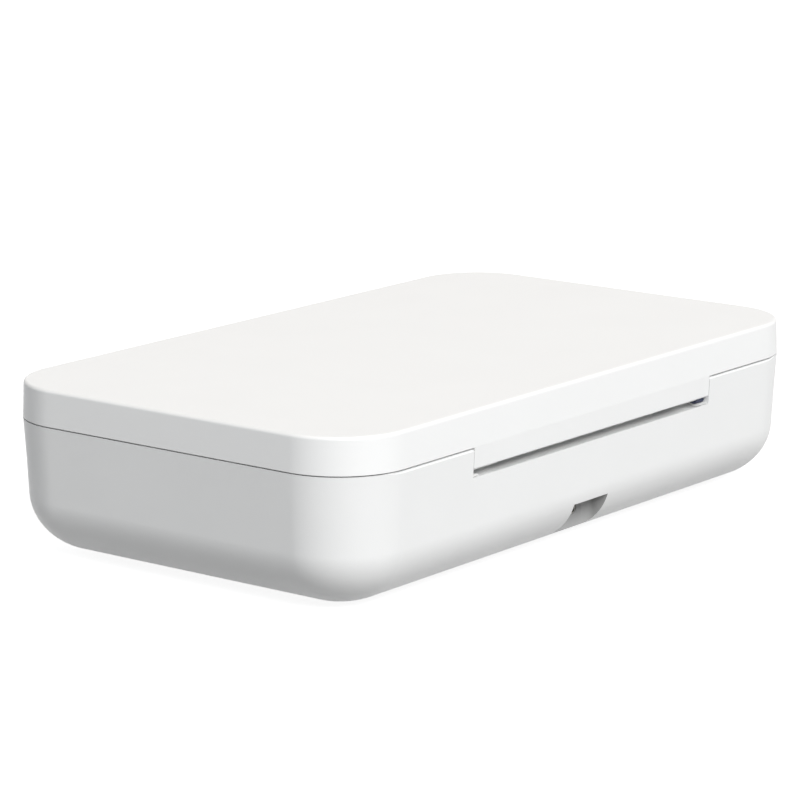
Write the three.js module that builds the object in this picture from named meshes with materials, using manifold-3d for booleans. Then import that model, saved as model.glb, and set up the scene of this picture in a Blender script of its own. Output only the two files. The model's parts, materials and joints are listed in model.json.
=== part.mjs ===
// UV sanitizer box for phones: a shallow white case with a full-width hinged lid.
// Millimetres, +Z up. The hinge and the charging port are at +Y, the power button at -Y.
// The origin is on the table, under the middle of the box.
import * as THREE from "three";
import { mergeVertices } from "three/addons/utils/BufferGeometryUtils.js";
import Module from "manifold-3d";

const wasm = await Module();
wasm.setup();

// Outer form
const length = 224;
const width = 131.3;
const cornerRadius = 21.9;
const leastRadius = 1.2;
const footDrop = 0.8;
const baseHeight = 38.8;
const seamGap = 0.4;
const lidHeight = 10.54;
const baseDraft = 2.83; // degrees
const lidDraft = 1.82; // degrees
const bottomRoundOut = 18.5;
const bottomRoundUp = 16.6;
const lidEdgeRadius = 1.8;

// Walls of the two housings
const baseWall = 2.2;
const lidWall = 2;
const lidTop = 1.8;
const lidLip = 0.9;
const lidLipHeight = 1.5;
const lidInnerRadius = 0.8;

// Clearances
const fitGap = 0.3;
const seatGap = 0.1;
const boreGap = 0.1;
const overrun = 5;

// Hinge: the lid's rear flap hangs in a notch of the base and turns over a round trough
const hingeInset = 3.2;
const hingeDrop = 5;
const flapHalf = 58.6;
const flapGap = 0.25;
const flapHang = 6.33;
const flapWall = 1.8;
const flapEdgeRadius = 0.5;
const flapCornerRadius = 0.8;
const flapSetback = 0.02;
const slotHeight = 2.34;
const lipLand = 0.6;
const troughWall = 1.5;
const hingeCheek = 4;
const rimSweepRadius = 5.05;
const knuckleRadius = 2.3;
const knuckleLength = 12.6;
const flapRibWidth = 1.2;
const flapRibCount = 5;
const hingePinRadius = 1.5;
const hingePinReach = 7.2;
const hingePinBore = 1;
const hingePinChamfer = 0.3;
const hingeBushRadius = 3.2;
const hingeBushLength = 4.1;
const hingeBushEdge = 0.3;
const bufferLength = 3.5;
const bufferInnerRadius = 3.4;
const bufferStopDistance = 3.03;
const bufferRise = 0.9;
const lidOpenAngle = 95; // degrees

// Inner tray: the deck round the chamber and the tub below it
const deckDrop = 0.6;
const deckThickness = 1.8;
const sideFlange = 17;
const frontFlange = 19.65;
const chamberCorner = 12;
const boardClearance = 0.7;
const tubDraft = 3; // degrees
const tubWall = 1.5;
const tubFloorRound = 4;
const mirrorGap = 0.2;
const mirrorThickness = 0.5;

// Chamber seal in its groove
const sealOffset = 2.5;
const sealWidth = 2.4;
const sealGroove = 0.7;
const sealSideGap = 0.15;
const sealCrown = 0.5;

// Lid liner and its dish
const linerLift = 0.2;
const linerPlate = 1.6;
const dishWall = 1;
const dishMirror = 0.4;
const dishRound = 2.5;
const dishDraft = 12; // degrees

// Lamps
const lampRadius = 2;
const lampEndRoom = 19;
const lampEndRadius = 1.3;
const lampEndLength = 4;
const lampHead = 0.4;
const lowerLampLift = 4.2;
const holderLength = 11;
const holderWidth = 9;
const holderGrip = 7;
const holderWall = 1.2;

// Wire work: the phone rack over the lower lamp, the guard under the upper one
const rackWire = 1;
const rackHeight = 9.8;
const rackWires = 8;
const rackEndRoom = 17;
const rackSideRoom = 8;
const rackRailInset = 14;
const rackBend = 4;
const rackWeld = 0.5;
const guardWire = 0.5;
const guardHalfY = 8;
const guardWires = 9;
const guardDrop = 3.25;

// Feet and case screws
const footRadius = 7;
const footPocket = 0.8;
const footMargin = 10.4;
const footEdge = 0.3;
const caseScrewRadius = 1.2;
const caseScrewLength = 8.6;
const screwHeadRadius = 2.5;
const screwHeadHeight = 1.2;
const screwSink = 1.8;
const bossRadius = 4.2;
const bossHeight = 3;
const postRadius = 3.6;

// Lid screws and magnets
const lidScrewRadius = 1;
const lidScrewLength = 6;
const lidScrewPad = 3.6;
const lidScrewPadHeight = 3;
const lidScrewSink = 1.5;
const lidScrewInset = 28;
const lidBossRadius = 2.8;
const magnetRadius = 4;
const magnetThickness = 2;
const magnetSpread = 40;
const keyMagnetRadius = 2.5;
const keyMagnetPlace = 20;
const collarWall = 1;
const collarHeight = 1.7;

// Front button, its switch board and the indicator
const buttonHeight = 24;
const buttonHalfX = 8;
const buttonHalfZ = 3.5;
const buttonProud = 0.45;
const buttonGap = 0.2;
const buttonFlange = 1.6;
const buttonFlangeThickness = 1.2;
const buttonStemRadius = 1.8;
const buttonTravel = 0.5;
const buttonDish = 0.35;
const switchBoardThickness = 1.2;
const switchBoardHalfZ = 7;
const switchBoardLeft = 12;
const switchBoardRight = 18;
const switchBoardInset = 14.6;
const switchHalf = 3;
const switchDepth = 3.6;
const plungerRadius = 1.6;
const plungerLength = 1.2;
const lensRadius = 1;
const lensPlace = 14;
const lensShoulder = 0.6;
const lensShoulderLength = 1.4;
const ledHalf = 1.3;
const ledDepth = 1;
const boardRibPlace = 7;
const boardRibWidth = 1.5;

// Finger scoop in the rim above the button
const scoopHalfX = 17;
const scoopDepth = 1.3;
const scoopHeight = 4.5;

// Charging port recess in the rear bottom round
const portHalf = 8.4;
const portRoof = 13.5;
const portInset = 9.75;
const portWall = 1.7;
const portDish = 0.7;
const socketHalfX = 4.47;
const socketHeight = 3.2;
const socketRadius = 1.3;
const socketDepth = 7.3;
const socketShell = 0.3;
const socketTongueHalf = 3.3;
const socketTongue = 0.7;
const socketTongueLength = 5;

// Electronics on the base floor
const boardHalfX = 32;
const boardDepth = 38;
const boardThickness = 1.6;
const boardCorner = 2;
const boardLift = 2.6;
const standoffRadius = 2.6;
const standoffInset = 4.5;
const boardScrewRadius = 1;
const boardScrewLength = 3.8;
const boardScrewHead = 1.9;
const boardScrewHeadHeight = 1;
const transformerHalfX = 8;
const transformerHalfY = 6.5;
const transformerHeight = 4.9;
const transformerLimb = 2.4;
const coilRadius = 2;
const capacitorRadius = 2.3;
const capacitorLength = 11;
const capacitorGroove = 0.3;
const chipHalf = 4.5;
const chipThickness = 1.1;
const chipBevel = 0.2;
const connectorHalfX = 2.4;
const connectorHalfY = 4.5;
const connectorHeight = 3.6;
const connectorWall = 0.8;
const sensorHalfX = 2;
const sensorHalfY = 1.5;
const sensorThickness = 1.5;

// Leads
const leadRadius = 0.7;
const leadHole = 1.2;
const leadBend = 3;
const leadPitch = 1.8;
const leadEase = 0.5;
const leadSag = 1;

// Facet counts
const cornerSteps = 7;
const chamberSteps = 4;
const smallSteps = 2;
const roundSteps = 6;
const edgeSteps = 3;
const tubSteps = 2;
const turnSteps = 12;
const screwSteps = 8;
const sweepSteps = 48;
const wireSides = 6;
const wireSteps = 2;
const leadSides = 5;
const leadStepsPerPoint = 2;

// Heights and places that follow from the sizes
const halfLength = length / 2;
const halfWidth = width / 2;
const rimZ = footDrop + baseHeight;
const lidZ = rimZ + seamGap;
const topZ = lidZ + lidHeight;
const baseSlope = Math.tan(THREE.MathUtils.degToRad(baseDraft));
const lidSlope = Math.tan(THREE.MathUtils.degToRad(lidDraft));
const tubSlope = Math.tan(THREE.MathUtils.degToRad(tubDraft));
const dishSlope = Math.tan(THREE.MathUtils.degToRad(dishDraft));
const floorZ = footDrop + baseWall;
const deckZ = rimZ - deckDrop;
const deckUnderZ = deckZ - deckThickness;
const boardZ = floorZ + boardLift;
const boardTopZ = boardZ + boardThickness;
const partsZ = boardTopZ + seatGap;
const tubUnderZ = partsZ + transformerHeight + boardClearance;
const tubFloorZ = tubUnderZ + tubWall;
const mirrorFloorZ = tubFloorZ + mirrorGap + mirrorThickness;
const chamberHalfX = halfLength - sideFlange;
const chamberHalfY = halfWidth - frontFlange;
const axisY = halfWidth - hingeInset;
const axisZ = lidZ - hingeDrop;
const flapBottomZ = lidZ - flapHang;
const lipZ = flapBottomZ - slotHeight;
const notchHalf = flapHalf + flapGap;
const lipOut = baseHalfWidthAt(lipZ) - axisY - lipLand;
const troughRadius = Math.hypot(lipOut, axisZ - lipZ);
const cheekX = notchHalf + hingeCheek;
const blockY = axisY - troughRadius - troughWall;
const blockZ = axisZ - troughRadius - troughWall;
const linerZ = lidZ + linerLift;
const linerTopZ = linerZ + linerPlate;
const ceilingZ = topZ - lidTop;
const dishTopZ = ceilingZ - fitGap;
const dishCeilingZ = dishTopZ - dishWall;
const dishMirrorZ = dishCeilingZ - mirrorGap - dishMirror;
const upperLampZ = dishMirrorZ - lampHead - lampRadius;
const lowerLampZ = mirrorFloorZ + lowerLampLift;
const lampLength = 2 * (chamberHalfX - lampEndRoom);
const holderX = lampLength / 2 - holderGrip;
const rackHalfX = chamberHalfX - rackEndRoom;
const rackHalfY = chamberHalfY - rackSideRoom;
const rackRailY = rackHalfY - rackRailInset;
const flatHalfX = halfLength - baseSlope * (lidZ - footDrop) - bottomRoundOut;
const flatHalfY = halfWidth - baseSlope * (lidZ - footDrop) - bottomRoundOut;
const footX = flatHalfX - footMargin;
const footY = flatHalfY - footMargin;
const footTopZ = footDrop + footPocket;
const bossTopZ = floorZ + bossHeight;
const postZ = bossTopZ + seatGap;
const magnetY = -(halfWidth + chamberHalfY) / 2;
const lidScrewX = halfLength - lidScrewInset;
const lidScrewY = -magnetY;
const frontY = -baseHalfWidthAt(buttonHeight);
const frontWallY = frontY + baseWall;
const buttonFaceY = frontY - buttonProud;
const buttonBackY = frontWallY + fitGap + baseSlope * (buttonHalfZ + buttonFlange);
const switchBoardY = frontY + switchBoardInset - switchBoardThickness;
const switchFaceY = switchBoardY - seatGap - switchDepth;
const plungerY = switchFaceY - plungerLength;
const portY = halfWidth - portInset;
const portInnerY = portY - portWall;
const boardRearY = portInnerY - portDish - fitGap;
const boardFrontY = boardRearY - boardDepth;
const portZ = partsZ + socketHeight / 2;
const leadZ = partsZ + connectorHeight / 2;

// Half the width of the base's outer form at a height on its drafted wall
function baseHalfWidthAt(z) {
  return halfWidth - baseSlope * (lidZ - z);
}

// Solid from a closed geometry, with its faces turned outwards
function solid(geometry) {
  const bare = geometry.index ? geometry.toNonIndexed() : geometry.clone();
  bare.deleteAttribute("normal");
  bare.deleteAttribute("uv");
  const merged = mergeVertices(bare);
  const corners = merged.index.array;
  const kept = [];
  for (let i = 0; i < corners.length; i += 3) {
    const [a, b, c] = [corners[i], corners[i + 1], corners[i + 2]];
    if (a !== b && b !== c && c !== a) kept.push(a, b, c);
  }
  const made = closed(merged.attributes.position.array, kept);
  return made.volume() > 0 ? made : closed(merged.attributes.position.array, kept.reverse());
}

function closed(vertProperties, triangles) {
  const triVerts = new Uint32Array(triangles);
  return new wasm.Manifold(new wasm.Mesh({ numProp: 3, vertProperties, triVerts }));
}

// All of a list of solids joined in one
function joined(solids) {
  return solids.reduce((all, next) => all.add(next));
}

// Block between two corners
function block(x0, x1, y0, y1, z0, z1) {
  const box = new THREE.BoxGeometry(x1 - x0, y1 - y0, z1 - z0);
  return solid(box.translate((x0 + x1) / 2, (y0 + y1) / 2, (z0 + z1) / 2));
}

// Ring of points round a rounded rectangle, counter-clockwise from above
function roundedRing({ halfX, halfY, radius, z, steps }) {
  const ring = [];
  const middles = [
    [halfX - radius, halfY - radius],
    [radius - halfX, halfY - radius],
    [radius - halfX, radius - halfY],
    [halfX - radius, radius - halfY],
  ];
  middles.forEach(([x, y], quarter) => {
    for (let i = 0; i <= steps; i++) {
      const turn = ((quarter + i / steps) * Math.PI) / 2;
      ring.push([x + radius * Math.cos(turn), y + radius * Math.sin(turn), z]);
    }
  });
  return ring;
}

// Closed body through a stack of rounded rectangles, from the lowest to the highest
function loft(sections) {
  const rings = sections.map(roundedRing);
  const count = rings[0].length;
  const last = rings.length - 1;
  const points = rings.flat();
  points.push([0, 0, sections[0].z], [0, 0, sections[last].z]);
  const bottom = points.length - 2;
  const top = points.length - 1;
  const faces = [];
  for (let i = 0; i < count; i++) {
    const next = (i + 1) % count;
    faces.push(bottom, next, i, top, last * count + i, last * count + next);
    for (let k = 0; k < last; k++) {
      const [a, b] = [k * count + i, k * count + next];
      faces.push(a, b, b + count, a, b + count, a + count);
    }
  }
  const geometry = new THREE.BufferGeometry();
  geometry.setAttribute("position", new THREE.Float32BufferAttribute(points.flat(), 3));
  geometry.setIndex(faces);
  return solid(geometry);
}

// Outline of the case, drawn in by an inset
function caseSection(inset, z) {
  const radius = Math.max(cornerRadius - inset, leastRadius);
  const [halfX, halfY] = [halfLength - inset, halfWidth - inset];
  return { halfX, halfY, radius, z, steps: cornerSteps };
}

// Outline of the chamber's mouth, drawn in by an inset
function chamberSection(inset, z) {
  const radius = Math.max(chamberCorner - inset, leastRadius);
  const [halfX, halfY] = [chamberHalfX - inset, chamberHalfY - inset];
  return { halfX, halfY, radius, z, steps: chamberSteps };
}

// Base form: big bottom round, then a drafted wall; the offset is the depth below the skin
function baseSections(offset, topOfForm) {
  const sections = [];
  const roundTop = footDrop + bottomRoundUp;
  for (let i = 0; i <= roundSteps; i++) {
    const turn = ((i / roundSteps) * Math.PI) / 2;
    const z = roundTop - (bottomRoundUp - offset) * Math.cos(turn);
    const rounding = (bottomRoundOut - offset) * (1 - Math.sin(turn));
    sections.push(caseSection(offset + baseSlope * (lidZ - z) + rounding, z));
  }
  sections.push(caseSection(offset + baseSlope * (lidZ - topOfForm), topOfForm));
  return sections;
}

// Lid form: drafted side and a rounded top edge
function lidSections(offset, bottomOfForm, topOfForm, edgeRadius) {
  const sections = [caseSection(offset + lidSlope * (bottomOfForm - lidZ), bottomOfForm)];
  for (let i = 0; i <= edgeSteps; i++) {
    const turn = ((i / edgeSteps) * Math.PI) / 2;
    const z = topOfForm - edgeRadius * (1 - Math.sin(turn));
    const rounding = edgeRadius * (1 - Math.cos(turn));
    sections.push(caseSection(offset + lidSlope * (z - lidZ) + rounding, z));
  }
  return sections;
}

// Tub form under the chamber's mouth, grown outwards by an offset
function tubSections(grow, bottomOfForm, mouthZ) {
  const sections = [];
  const round = tubFloorRound + grow;
  for (let i = 0; i <= tubSteps; i++) {
    const turn = ((i / tubSteps) * Math.PI) / 2;
    const z = bottomOfForm + round * (1 - Math.cos(turn));
    const rounding = round * (1 - Math.sin(turn));
    sections.push(chamberSection(rounding + tubSlope * (deckZ - z) - grow, z));
  }
  sections.push(chamberSection(tubSlope * (deckZ - mouthZ) - grow, mouthZ));
  return sections;
}

// Dish form over the chamber's mouth, grown outwards by an offset
function dishSections(grow, mouthZ, topOfForm) {
  const sections = [chamberSection(dishSlope * (mouthZ - linerZ) - grow, mouthZ)];
  const round = dishRound + grow;
  for (let i = 0; i <= tubSteps; i++) {
    const turn = ((i / tubSteps) * Math.PI) / 2;
    const z = topOfForm - round * (1 - Math.sin(turn));
    const rounding = round * (1 - Math.cos(turn));
    sections.push(chamberSection(rounding + dishSlope * (z - linerZ) - grow, z));
  }
  return sections;
}

// Body turned from a profile of [radius, height] pairs, about an axis through a place
function turned(profile, axis, [x, y, z], steps = turnSteps) {
  const points = profile.map(([radius, height]) => new THREE.Vector2(radius, height));
  const lathe = new THREE.LatheGeometry(points, steps);
  if (axis === "x") lathe.rotateZ(-Math.PI / 2);
  if (axis === "z") lathe.rotateX(Math.PI / 2);
  return solid(lathe.translate(x, y, z));
}

// Plain round bar from a place along an axis
function bar(radius, barLength, axis, place, steps = turnSteps) {
  const profile = [
    [0, 0],
    [radius, 0],
    [radius, barLength],
    [0, barLength],
  ];
  return turned(profile, axis, place, steps);
}

// Prism from an outline; "x" takes it in (Y, Z), "y" in (X, Z) and "z" in (X, Y)
function prism(shape, axis, from, to, curveSegments = smallSteps) {
  const options = { depth: to - from, bevelEnabled: false, curveSegments };
  const body = new THREE.ExtrudeGeometry(shape, options);
  const [ex, ey, ez] = [
    new THREE.Vector3(1, 0, 0),
    new THREE.Vector3(0, 1, 0),
    new THREE.Vector3(0, 0, 1),
  ];
  if (axis === "z") return solid(body.translate(0, 0, from));
  if (axis === "x") {
    body.applyMatrix4(new THREE.Matrix4().makeBasis(ey, ez, ex));
    return solid(body.translate(from, 0, 0));
  }
  body.applyMatrix4(new THREE.Matrix4().makeBasis(ex, ez, ey.negate()));
  return solid(body.translate(0, to, 0));
}

// Outline of a rounded rectangle about a middle
function roundedShape(halfX, halfY, radius, [x, y] = [0, 0]) {
  const shape = new THREE.Shape();
  const corner = Math.min(radius, halfX, halfY);
  shape.moveTo(x + halfX, y - halfY + corner);
  shape.absarc(x + halfX - corner, y + halfY - corner, corner, 0, Math.PI / 2);
  shape.absarc(x - halfX + corner, y + halfY - corner, corner, Math.PI / 2, Math.PI);
  shape.absarc(x - halfX + corner, y - halfY + corner, corner, Math.PI, 1.5 * Math.PI);
  shape.absarc(x + halfX - corner, y - halfY + corner, corner, 1.5 * Math.PI, 2 * Math.PI);
  return shape;
}

// Outline through straight corners
function polygon(points) {
  return new THREE.Shape(points.map(([x, y]) => new THREE.Vector2(x, y)));
}

// Round wire or lead along a curve
function drawn(curve, radius, sides, steps) {
  const round = [];
  for (let i = 0; i < sides; i++) {
    const turn = (2 * Math.PI * i) / sides;
    round.push(new THREE.Vector2(radius * Math.cos(turn), radius * Math.sin(turn)));
  }
  const options = { steps, extrudePath: curve, bevelEnabled: false };
  return solid(new THREE.ExtrudeGeometry(new THREE.Shape(round), options));
}

function lead(points) {
  const curve = new THREE.CatmullRomCurve3(points.map((p) => new THREE.Vector3(...p)));
  return drawn(curve, leadRadius, leadSides, points.length * leadStepsPerPoint);
}

// The four places at plus and minus x and y, each with a name
function corners(x, y) {
  return [
    { name: "front_left", x: -x, y: -y },
    { name: "front_right", x, y: -y },
    { name: "rear_left", x: -x, y },
    { name: "rear_right", x, y },
  ];
}

const sides = [
  { name: "left", sign: -1 },
  { name: "right", sign: 1 },
];

// Block that carries the hinge trough and its two cheeks inside the rear wall
function troughBlock(grow, top) {
  const [x, y] = [cheekX + grow, blockY - grow];
  return block(-x, x, y, halfWidth + overrun, blockZ - grow, top);
}

// Notch that the lid's flap turns in, open to the rear and to the top
function flapNotch() {
  const [x, y] = [notchHalf, axisY - troughRadius];
  const round = bar(troughRadius, 2 * x, "x", [-x, axisY, axisZ], sweepSteps);
  const above = block(-x, x, y, halfWidth + overrun, axisZ, lidZ + overrun);
  const behind = block(-x, x, axisY, halfWidth + overrun, lipZ, axisZ + overrun);
  return joined([round, above, behind]);
}

// Rear top edge of the base, rounded about the hinge axis so that the lid's lip swings clear
function rimSweep() {
  const x = halfLength + overrun;
  const corner = block(-x, x, axisY, halfWidth + overrun, axisZ, lidZ + overrun);
  return corner.subtract(bar(rimSweepRadius, 2 * x, "x", [-x, axisY, axisZ], sweepSteps));
}

// Charging port recess: a flat roof and a back wall that is dished a little
function portRecess() {
  const outline = new THREE.Shape();
  outline.moveTo(-portHalf, portY);
  outline.quadraticCurveTo(0, portY - 2 * portDish, portHalf, portY);
  outline.lineTo(portHalf, halfWidth + overrun);
  outline.lineTo(-portHalf, halfWidth + overrun);
  return prism(outline, "z", -overrun, portRoof, cornerSteps);
}

function portBlock() {
  const x = portHalf + portWall;
  return block(-x, x, portInnerY - portDish, halfWidth + overrun, 0, portRoof + portWall);
}

function socketOutline(grow) {
  const [halfX, halfZ] = [socketHalfX + grow, socketHeight / 2 + grow];
  return roundedShape(halfX, halfZ, socketRadius + grow, [0, portZ]);
}

// Ledges, bosses and standoffs that stand on the floor inside the base
function floorBosses() {
  const bosses = corners(footX, footY).map(({ x, y }) =>
    bar(bossRadius, bossTopZ, "z", [x, y, 0]),
  );
  const standoffs = standoffPlaces().map(([x, y]) =>
    bar(standoffRadius, boardZ - seatGap, "z", [x, y, 0]),
  );
  return joined([...bosses, ...standoffs]);
}

function standoffPlaces() {
  const x = boardHalfX - standoffInset;
  const [front, rear] = [boardFrontY + standoffInset, boardRearY - standoffInset];
  return [
    [-x, rear],
    [x, front],
    [x, rear],
    [-x, front],
  ];
}

// Holes through the base floor: foot pocket, sunk screw head and screw shank
function footHoles() {
  const holes = corners(footX, footY).map(({ x, y }) => {
    const profile = [
      [0, -overrun],
      [footRadius + fitGap, -overrun],
      [footRadius + fitGap, footTopZ],
      [screwHeadRadius + fitGap, footTopZ],
      [screwHeadRadius + fitGap, footTopZ + screwSink],
      [caseScrewRadius + fitGap, footTopZ + screwSink],
      [caseScrewRadius + fitGap, bossTopZ + overrun],
      [0, bossTopZ + overrun],
    ];
    return turned(profile, "z", [x, y, 0]);
  });
  return joined(holes);
}

function baseShell() {
  const outer = loft(baseSections(0, rimZ));
  const cavity = loft(baseSections(baseWall, rimZ + overrun));
  const kept = joined([troughBlock(0, deckZ), portBlock(), floorBosses()]);
  const pinBore = bar(
    hingePinRadius + boreGap,
    2 * (cheekX + overrun),
    "x",
    [-cheekX - overrun, axisY, axisZ],
  );
  const socketHole = prism(socketOutline(seatGap), "y", portInnerY - overrun, halfWidth);
  const standoffBores = standoffPlaces().map(([x, y]) =>
    bar(boardScrewRadius + boreGap, boardZ, "z", [x, y, floorZ], screwSteps),
  );
  const buttonOutline = roundedShape(
    buttonHalfX + buttonGap,
    buttonHalfZ + buttonGap,
    buttonHalfZ + buttonGap,
    [0, buttonHeight],
  );
  const [before, behind] = [frontY - overrun, frontWallY + overrun];
  const buttonHole = prism(buttonOutline, "y", before, behind, cornerSteps);
  const lensHole = bar(
    lensRadius + boreGap,
    2 * overrun,
    "y",
    [lensPlace, frontY - overrun, buttonHeight],
  );
  const scoop = new THREE.SphereGeometry(1, turnSteps, turnSteps / 2);
  scoop.scale(scoopHalfX, scoopDepth, scoopHeight);
  scoop.translate(0, -baseHalfWidthAt(rimZ), rimZ);
  return outer
    .subtract(cavity.subtract(kept))
    .subtract(flapNotch())
    .subtract(rimSweep())
    .subtract(portRecess())
    .subtract(pinBore)
    .subtract(socketHole)
    .subtract(joined(standoffBores))
    .subtract(footHoles())
    .subtract(buttonHole)
    .subtract(lensHole)
    .subtract(solid(scoop));
}

// Ring of the seal's outline, from one height to another, grown by a clearance
function sealRing(grow, fromZ, toZ, crown) {
  const outer = -(sealOffset + sealWidth + grow);
  const inner = -(sealOffset - grow);
  const outside = [chamberSection(outer, fromZ), chamberSection(outer, toZ - crown)];
  const inside = [chamberSection(inner, fromZ - overrun), chamberSection(inner, toZ - crown)];
  if (crown > 0) {
    outside.push(chamberSection(outer + crown, toZ));
    inside.push(chamberSection(inner - crown, toZ));
    inside.push(chamberSection(inner - crown, toZ + overrun));
  } else {
    inside.push(chamberSection(inner, toZ + overrun));
  }
  return loft(outside).subtract(loft(inside));
}

// Collar that holds a magnet, from one height upwards
function collar(radius, x, y, z) {
  return bar(radius + boreGap + collarWall, collarHeight, "z", [x, y, z]);
}

function magnetPlaces() {
  const pair = sides.map(({ sign }) => ({ radius: magnetRadius, x: sign * magnetSpread }));
  return [...pair, { radius: keyMagnetRadius, x: keyMagnetPlace }];
}

function innerTray() {
  const inset = baseWall + fitGap;
  const flange = loft([
    caseSection(inset + baseSlope * (lidZ - deckUnderZ), deckUnderZ),
    caseSection(inset + baseSlope * (lidZ - deckZ), deckZ),
  ]);
  const tub = loft(tubSections(tubWall, tubUnderZ, deckUnderZ + deckThickness / 2));
  const cavity = loft(tubSections(0, tubFloorZ, deckZ + overrun));
  const posts = corners(footX, footY).map(({ x, y }) =>
    bar(postRadius, tubFloorZ - postZ - tubWall / 2, "z", [x, y, postZ]),
  );
  const pilotDepth = tubUnderZ - postZ - tubWall / 2;
  const pilots = corners(footX, footY).map(({ x, y }) =>
    bar(
      caseScrewRadius + boreGap,
      pilotDepth + overrun,
      "z",
      [x, y, postZ - overrun],
      screwSteps,
    ),
  );
  const magnets = magnetPlaces().slice(0, 2);
  const collars = magnets.map(({ radius, x }) =>
    collar(radius, x, magnetY, deckUnderZ - collarHeight + seatGap),
  );
  const pockets = magnets.map(({ radius, x }) =>
    bar(radius + boreGap, collarHeight + overrun, "z", [
      x,
      magnetY,
      deckUnderZ - collarHeight - overrun,
    ]),
  );
  const ribs = sides.map(({ sign }) => {
    const x = sign * boardRibPlace;
    return block(
      x - boardRibWidth / 2,
      x + boardRibWidth / 2,
      switchBoardY + switchBoardThickness + fitGap,
      -chamberHalfY + tubFloorRound,
      buttonHeight - switchBoardHalfZ,
      buttonHeight + switchBoardHalfZ,
    );
  });
  const leadHoles = sides.map(({ sign }) =>
    bar(leadHole, 2 * overrun, "z", [sign * lowerLeadX(), 0, tubFloorZ - overrun]),
  );
  const groove = sealRing(sealSideGap, deckZ - sealGroove, deckZ + overrun, 0);
  const body = joined([flange, tub, ...posts, ...ribs]).subtract(cavity);
  return joined([body.subtract(joined(pockets)), joined(collars).subtract(joined(pockets))])
    .subtract(joined(pilots))
    .subtract(joined(leadHoles))
    .subtract(groove)
    .subtract(troughBlock(fitGap, deckZ + overrun));
}

function lowerLeadX() {
  return holderX + holderLength / 2;
}

function baseMirror() {
  const top = deckZ - seatGap;
  const outer = loft(tubSections(-mirrorGap, tubFloorZ + mirrorGap, top));
  const inside = -mirrorGap - mirrorThickness;
  const inner = loft(tubSections(inside, mirrorFloorZ, top + overrun));
  const holes = sides.map(({ sign }) =>
    bar(leadHole, 2 * overrun, "z", [sign * lowerLeadX(), 0, tubFloorZ - overrun]),
  );
  return outer.subtract(inner).subtract(joined(holes));
}

function chamberSeal() {
  return sealRing(0, deckZ - sealGroove + seatGap, linerZ - fitGap, sealCrown);
}

// Glass tube with a narrower cap at each end, along X
function lamp(z) {
  const half = lampLength / 2;
  const shoulder = half - lampEndLength;
  const profile = [
    [0, -half],
    [lampEndRadius, -half],
    [lampEndRadius, -shoulder - lampRadius / 2],
    [lampRadius, -shoulder],
    [lampRadius, shoulder],
    [lampEndRadius, shoulder + lampRadius / 2],
    [lampEndRadius, half],
    [0, half],
  ];
  return turned(profile, "x", [0, 0, z]);
}

// Arched socket that grips one end of a lamp; its foot is at seatZ, above or below the lamp
function lampHolder(sign, lampZ, seatZ) {
  const up = Math.sign(seatZ - lampZ);
  const arch = new THREE.Shape();
  arch.moveTo(-holderWidth / 2, seatZ);
  arch.lineTo(-lampRadius - holderWall, lampZ);
  arch.absarc(0, lampZ, lampRadius + holderWall, Math.PI, 0, up < 0);
  arch.lineTo(holderWidth / 2, seatZ);
  const from = Math.min(sign * holderX, sign * (holderX + holderLength));
  const body = prism(arch, "x", from, from + holderLength);
  const bore = bar(lampRadius + seatGap, lampLength + 2 * seatGap, "x", [
    -lampLength / 2 - seatGap,
    0,
    lampZ,
  ]);
  return body.subtract(bore);
}

// Cross wire of the phone rack: up from the floor, over and down again
function rackArch(x) {
  const [top, bottom] = [mirrorFloorZ + rackHeight - rackWire, mirrorFloorZ + seatGap];
  const path = new THREE.CurvePath();
  const at = (y, z) => new THREE.Vector3(x, y, z);
  path.add(new THREE.LineCurve3(at(-rackHalfY, bottom), at(-rackHalfY, top - rackBend)));
  path.add(
    new THREE.QuadraticBezierCurve3(
      at(-rackHalfY, top - rackBend),
      at(-rackHalfY, top),
      at(-rackHalfY + rackBend, top),
    ),
  );
  path.add(new THREE.LineCurve3(at(-rackHalfY + rackBend, top), at(rackHalfY - rackBend, top)));
  path.add(
    new THREE.QuadraticBezierCurve3(
      at(rackHalfY - rackBend, top),
      at(rackHalfY, top),
      at(rackHalfY, top - rackBend),
    ),
  );
  path.add(new THREE.LineCurve3(at(rackHalfY, top - rackBend), at(rackHalfY, bottom)));
  return wireThrough(path.curves);
}

// Bent wire: a straight run stays two rings, a bend gets a few
function wireThrough(curves) {
  const points = [curves[0].getPoint(0)];
  for (const curve of curves) {
    const steps = curve instanceof THREE.LineCurve3 ? 1 : wireSteps;
    for (let i = 1; i <= steps; i++) points.push(curve.getPoint(i / steps));
  }
  const rings = points.map((point, i) => {
    const before = points[Math.max(i - 1, 0)];
    const after = points[Math.min(i + 1, points.length - 1)];
    return wireRing(point, after.clone().sub(before).normalize());
  });
  return stacked(rings);
}

// Ring of a wire that bends in a plane square to X
function wireRing(point, heading) {
  const sideways = new THREE.Vector3(1, 0, 0);
  const upwards = heading.clone().cross(sideways);
  const ring = [];
  for (let i = 0; i < wireSides; i++) {
    const turn = (2 * Math.PI * i) / wireSides;
    const offset = sideways.clone().multiplyScalar(Math.cos(turn));
    offset.addScaledVector(upwards, Math.sin(turn)).multiplyScalar(rackWire);
    ring.push(point.clone().add(offset).toArray());
  }
  return ring;
}

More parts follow.
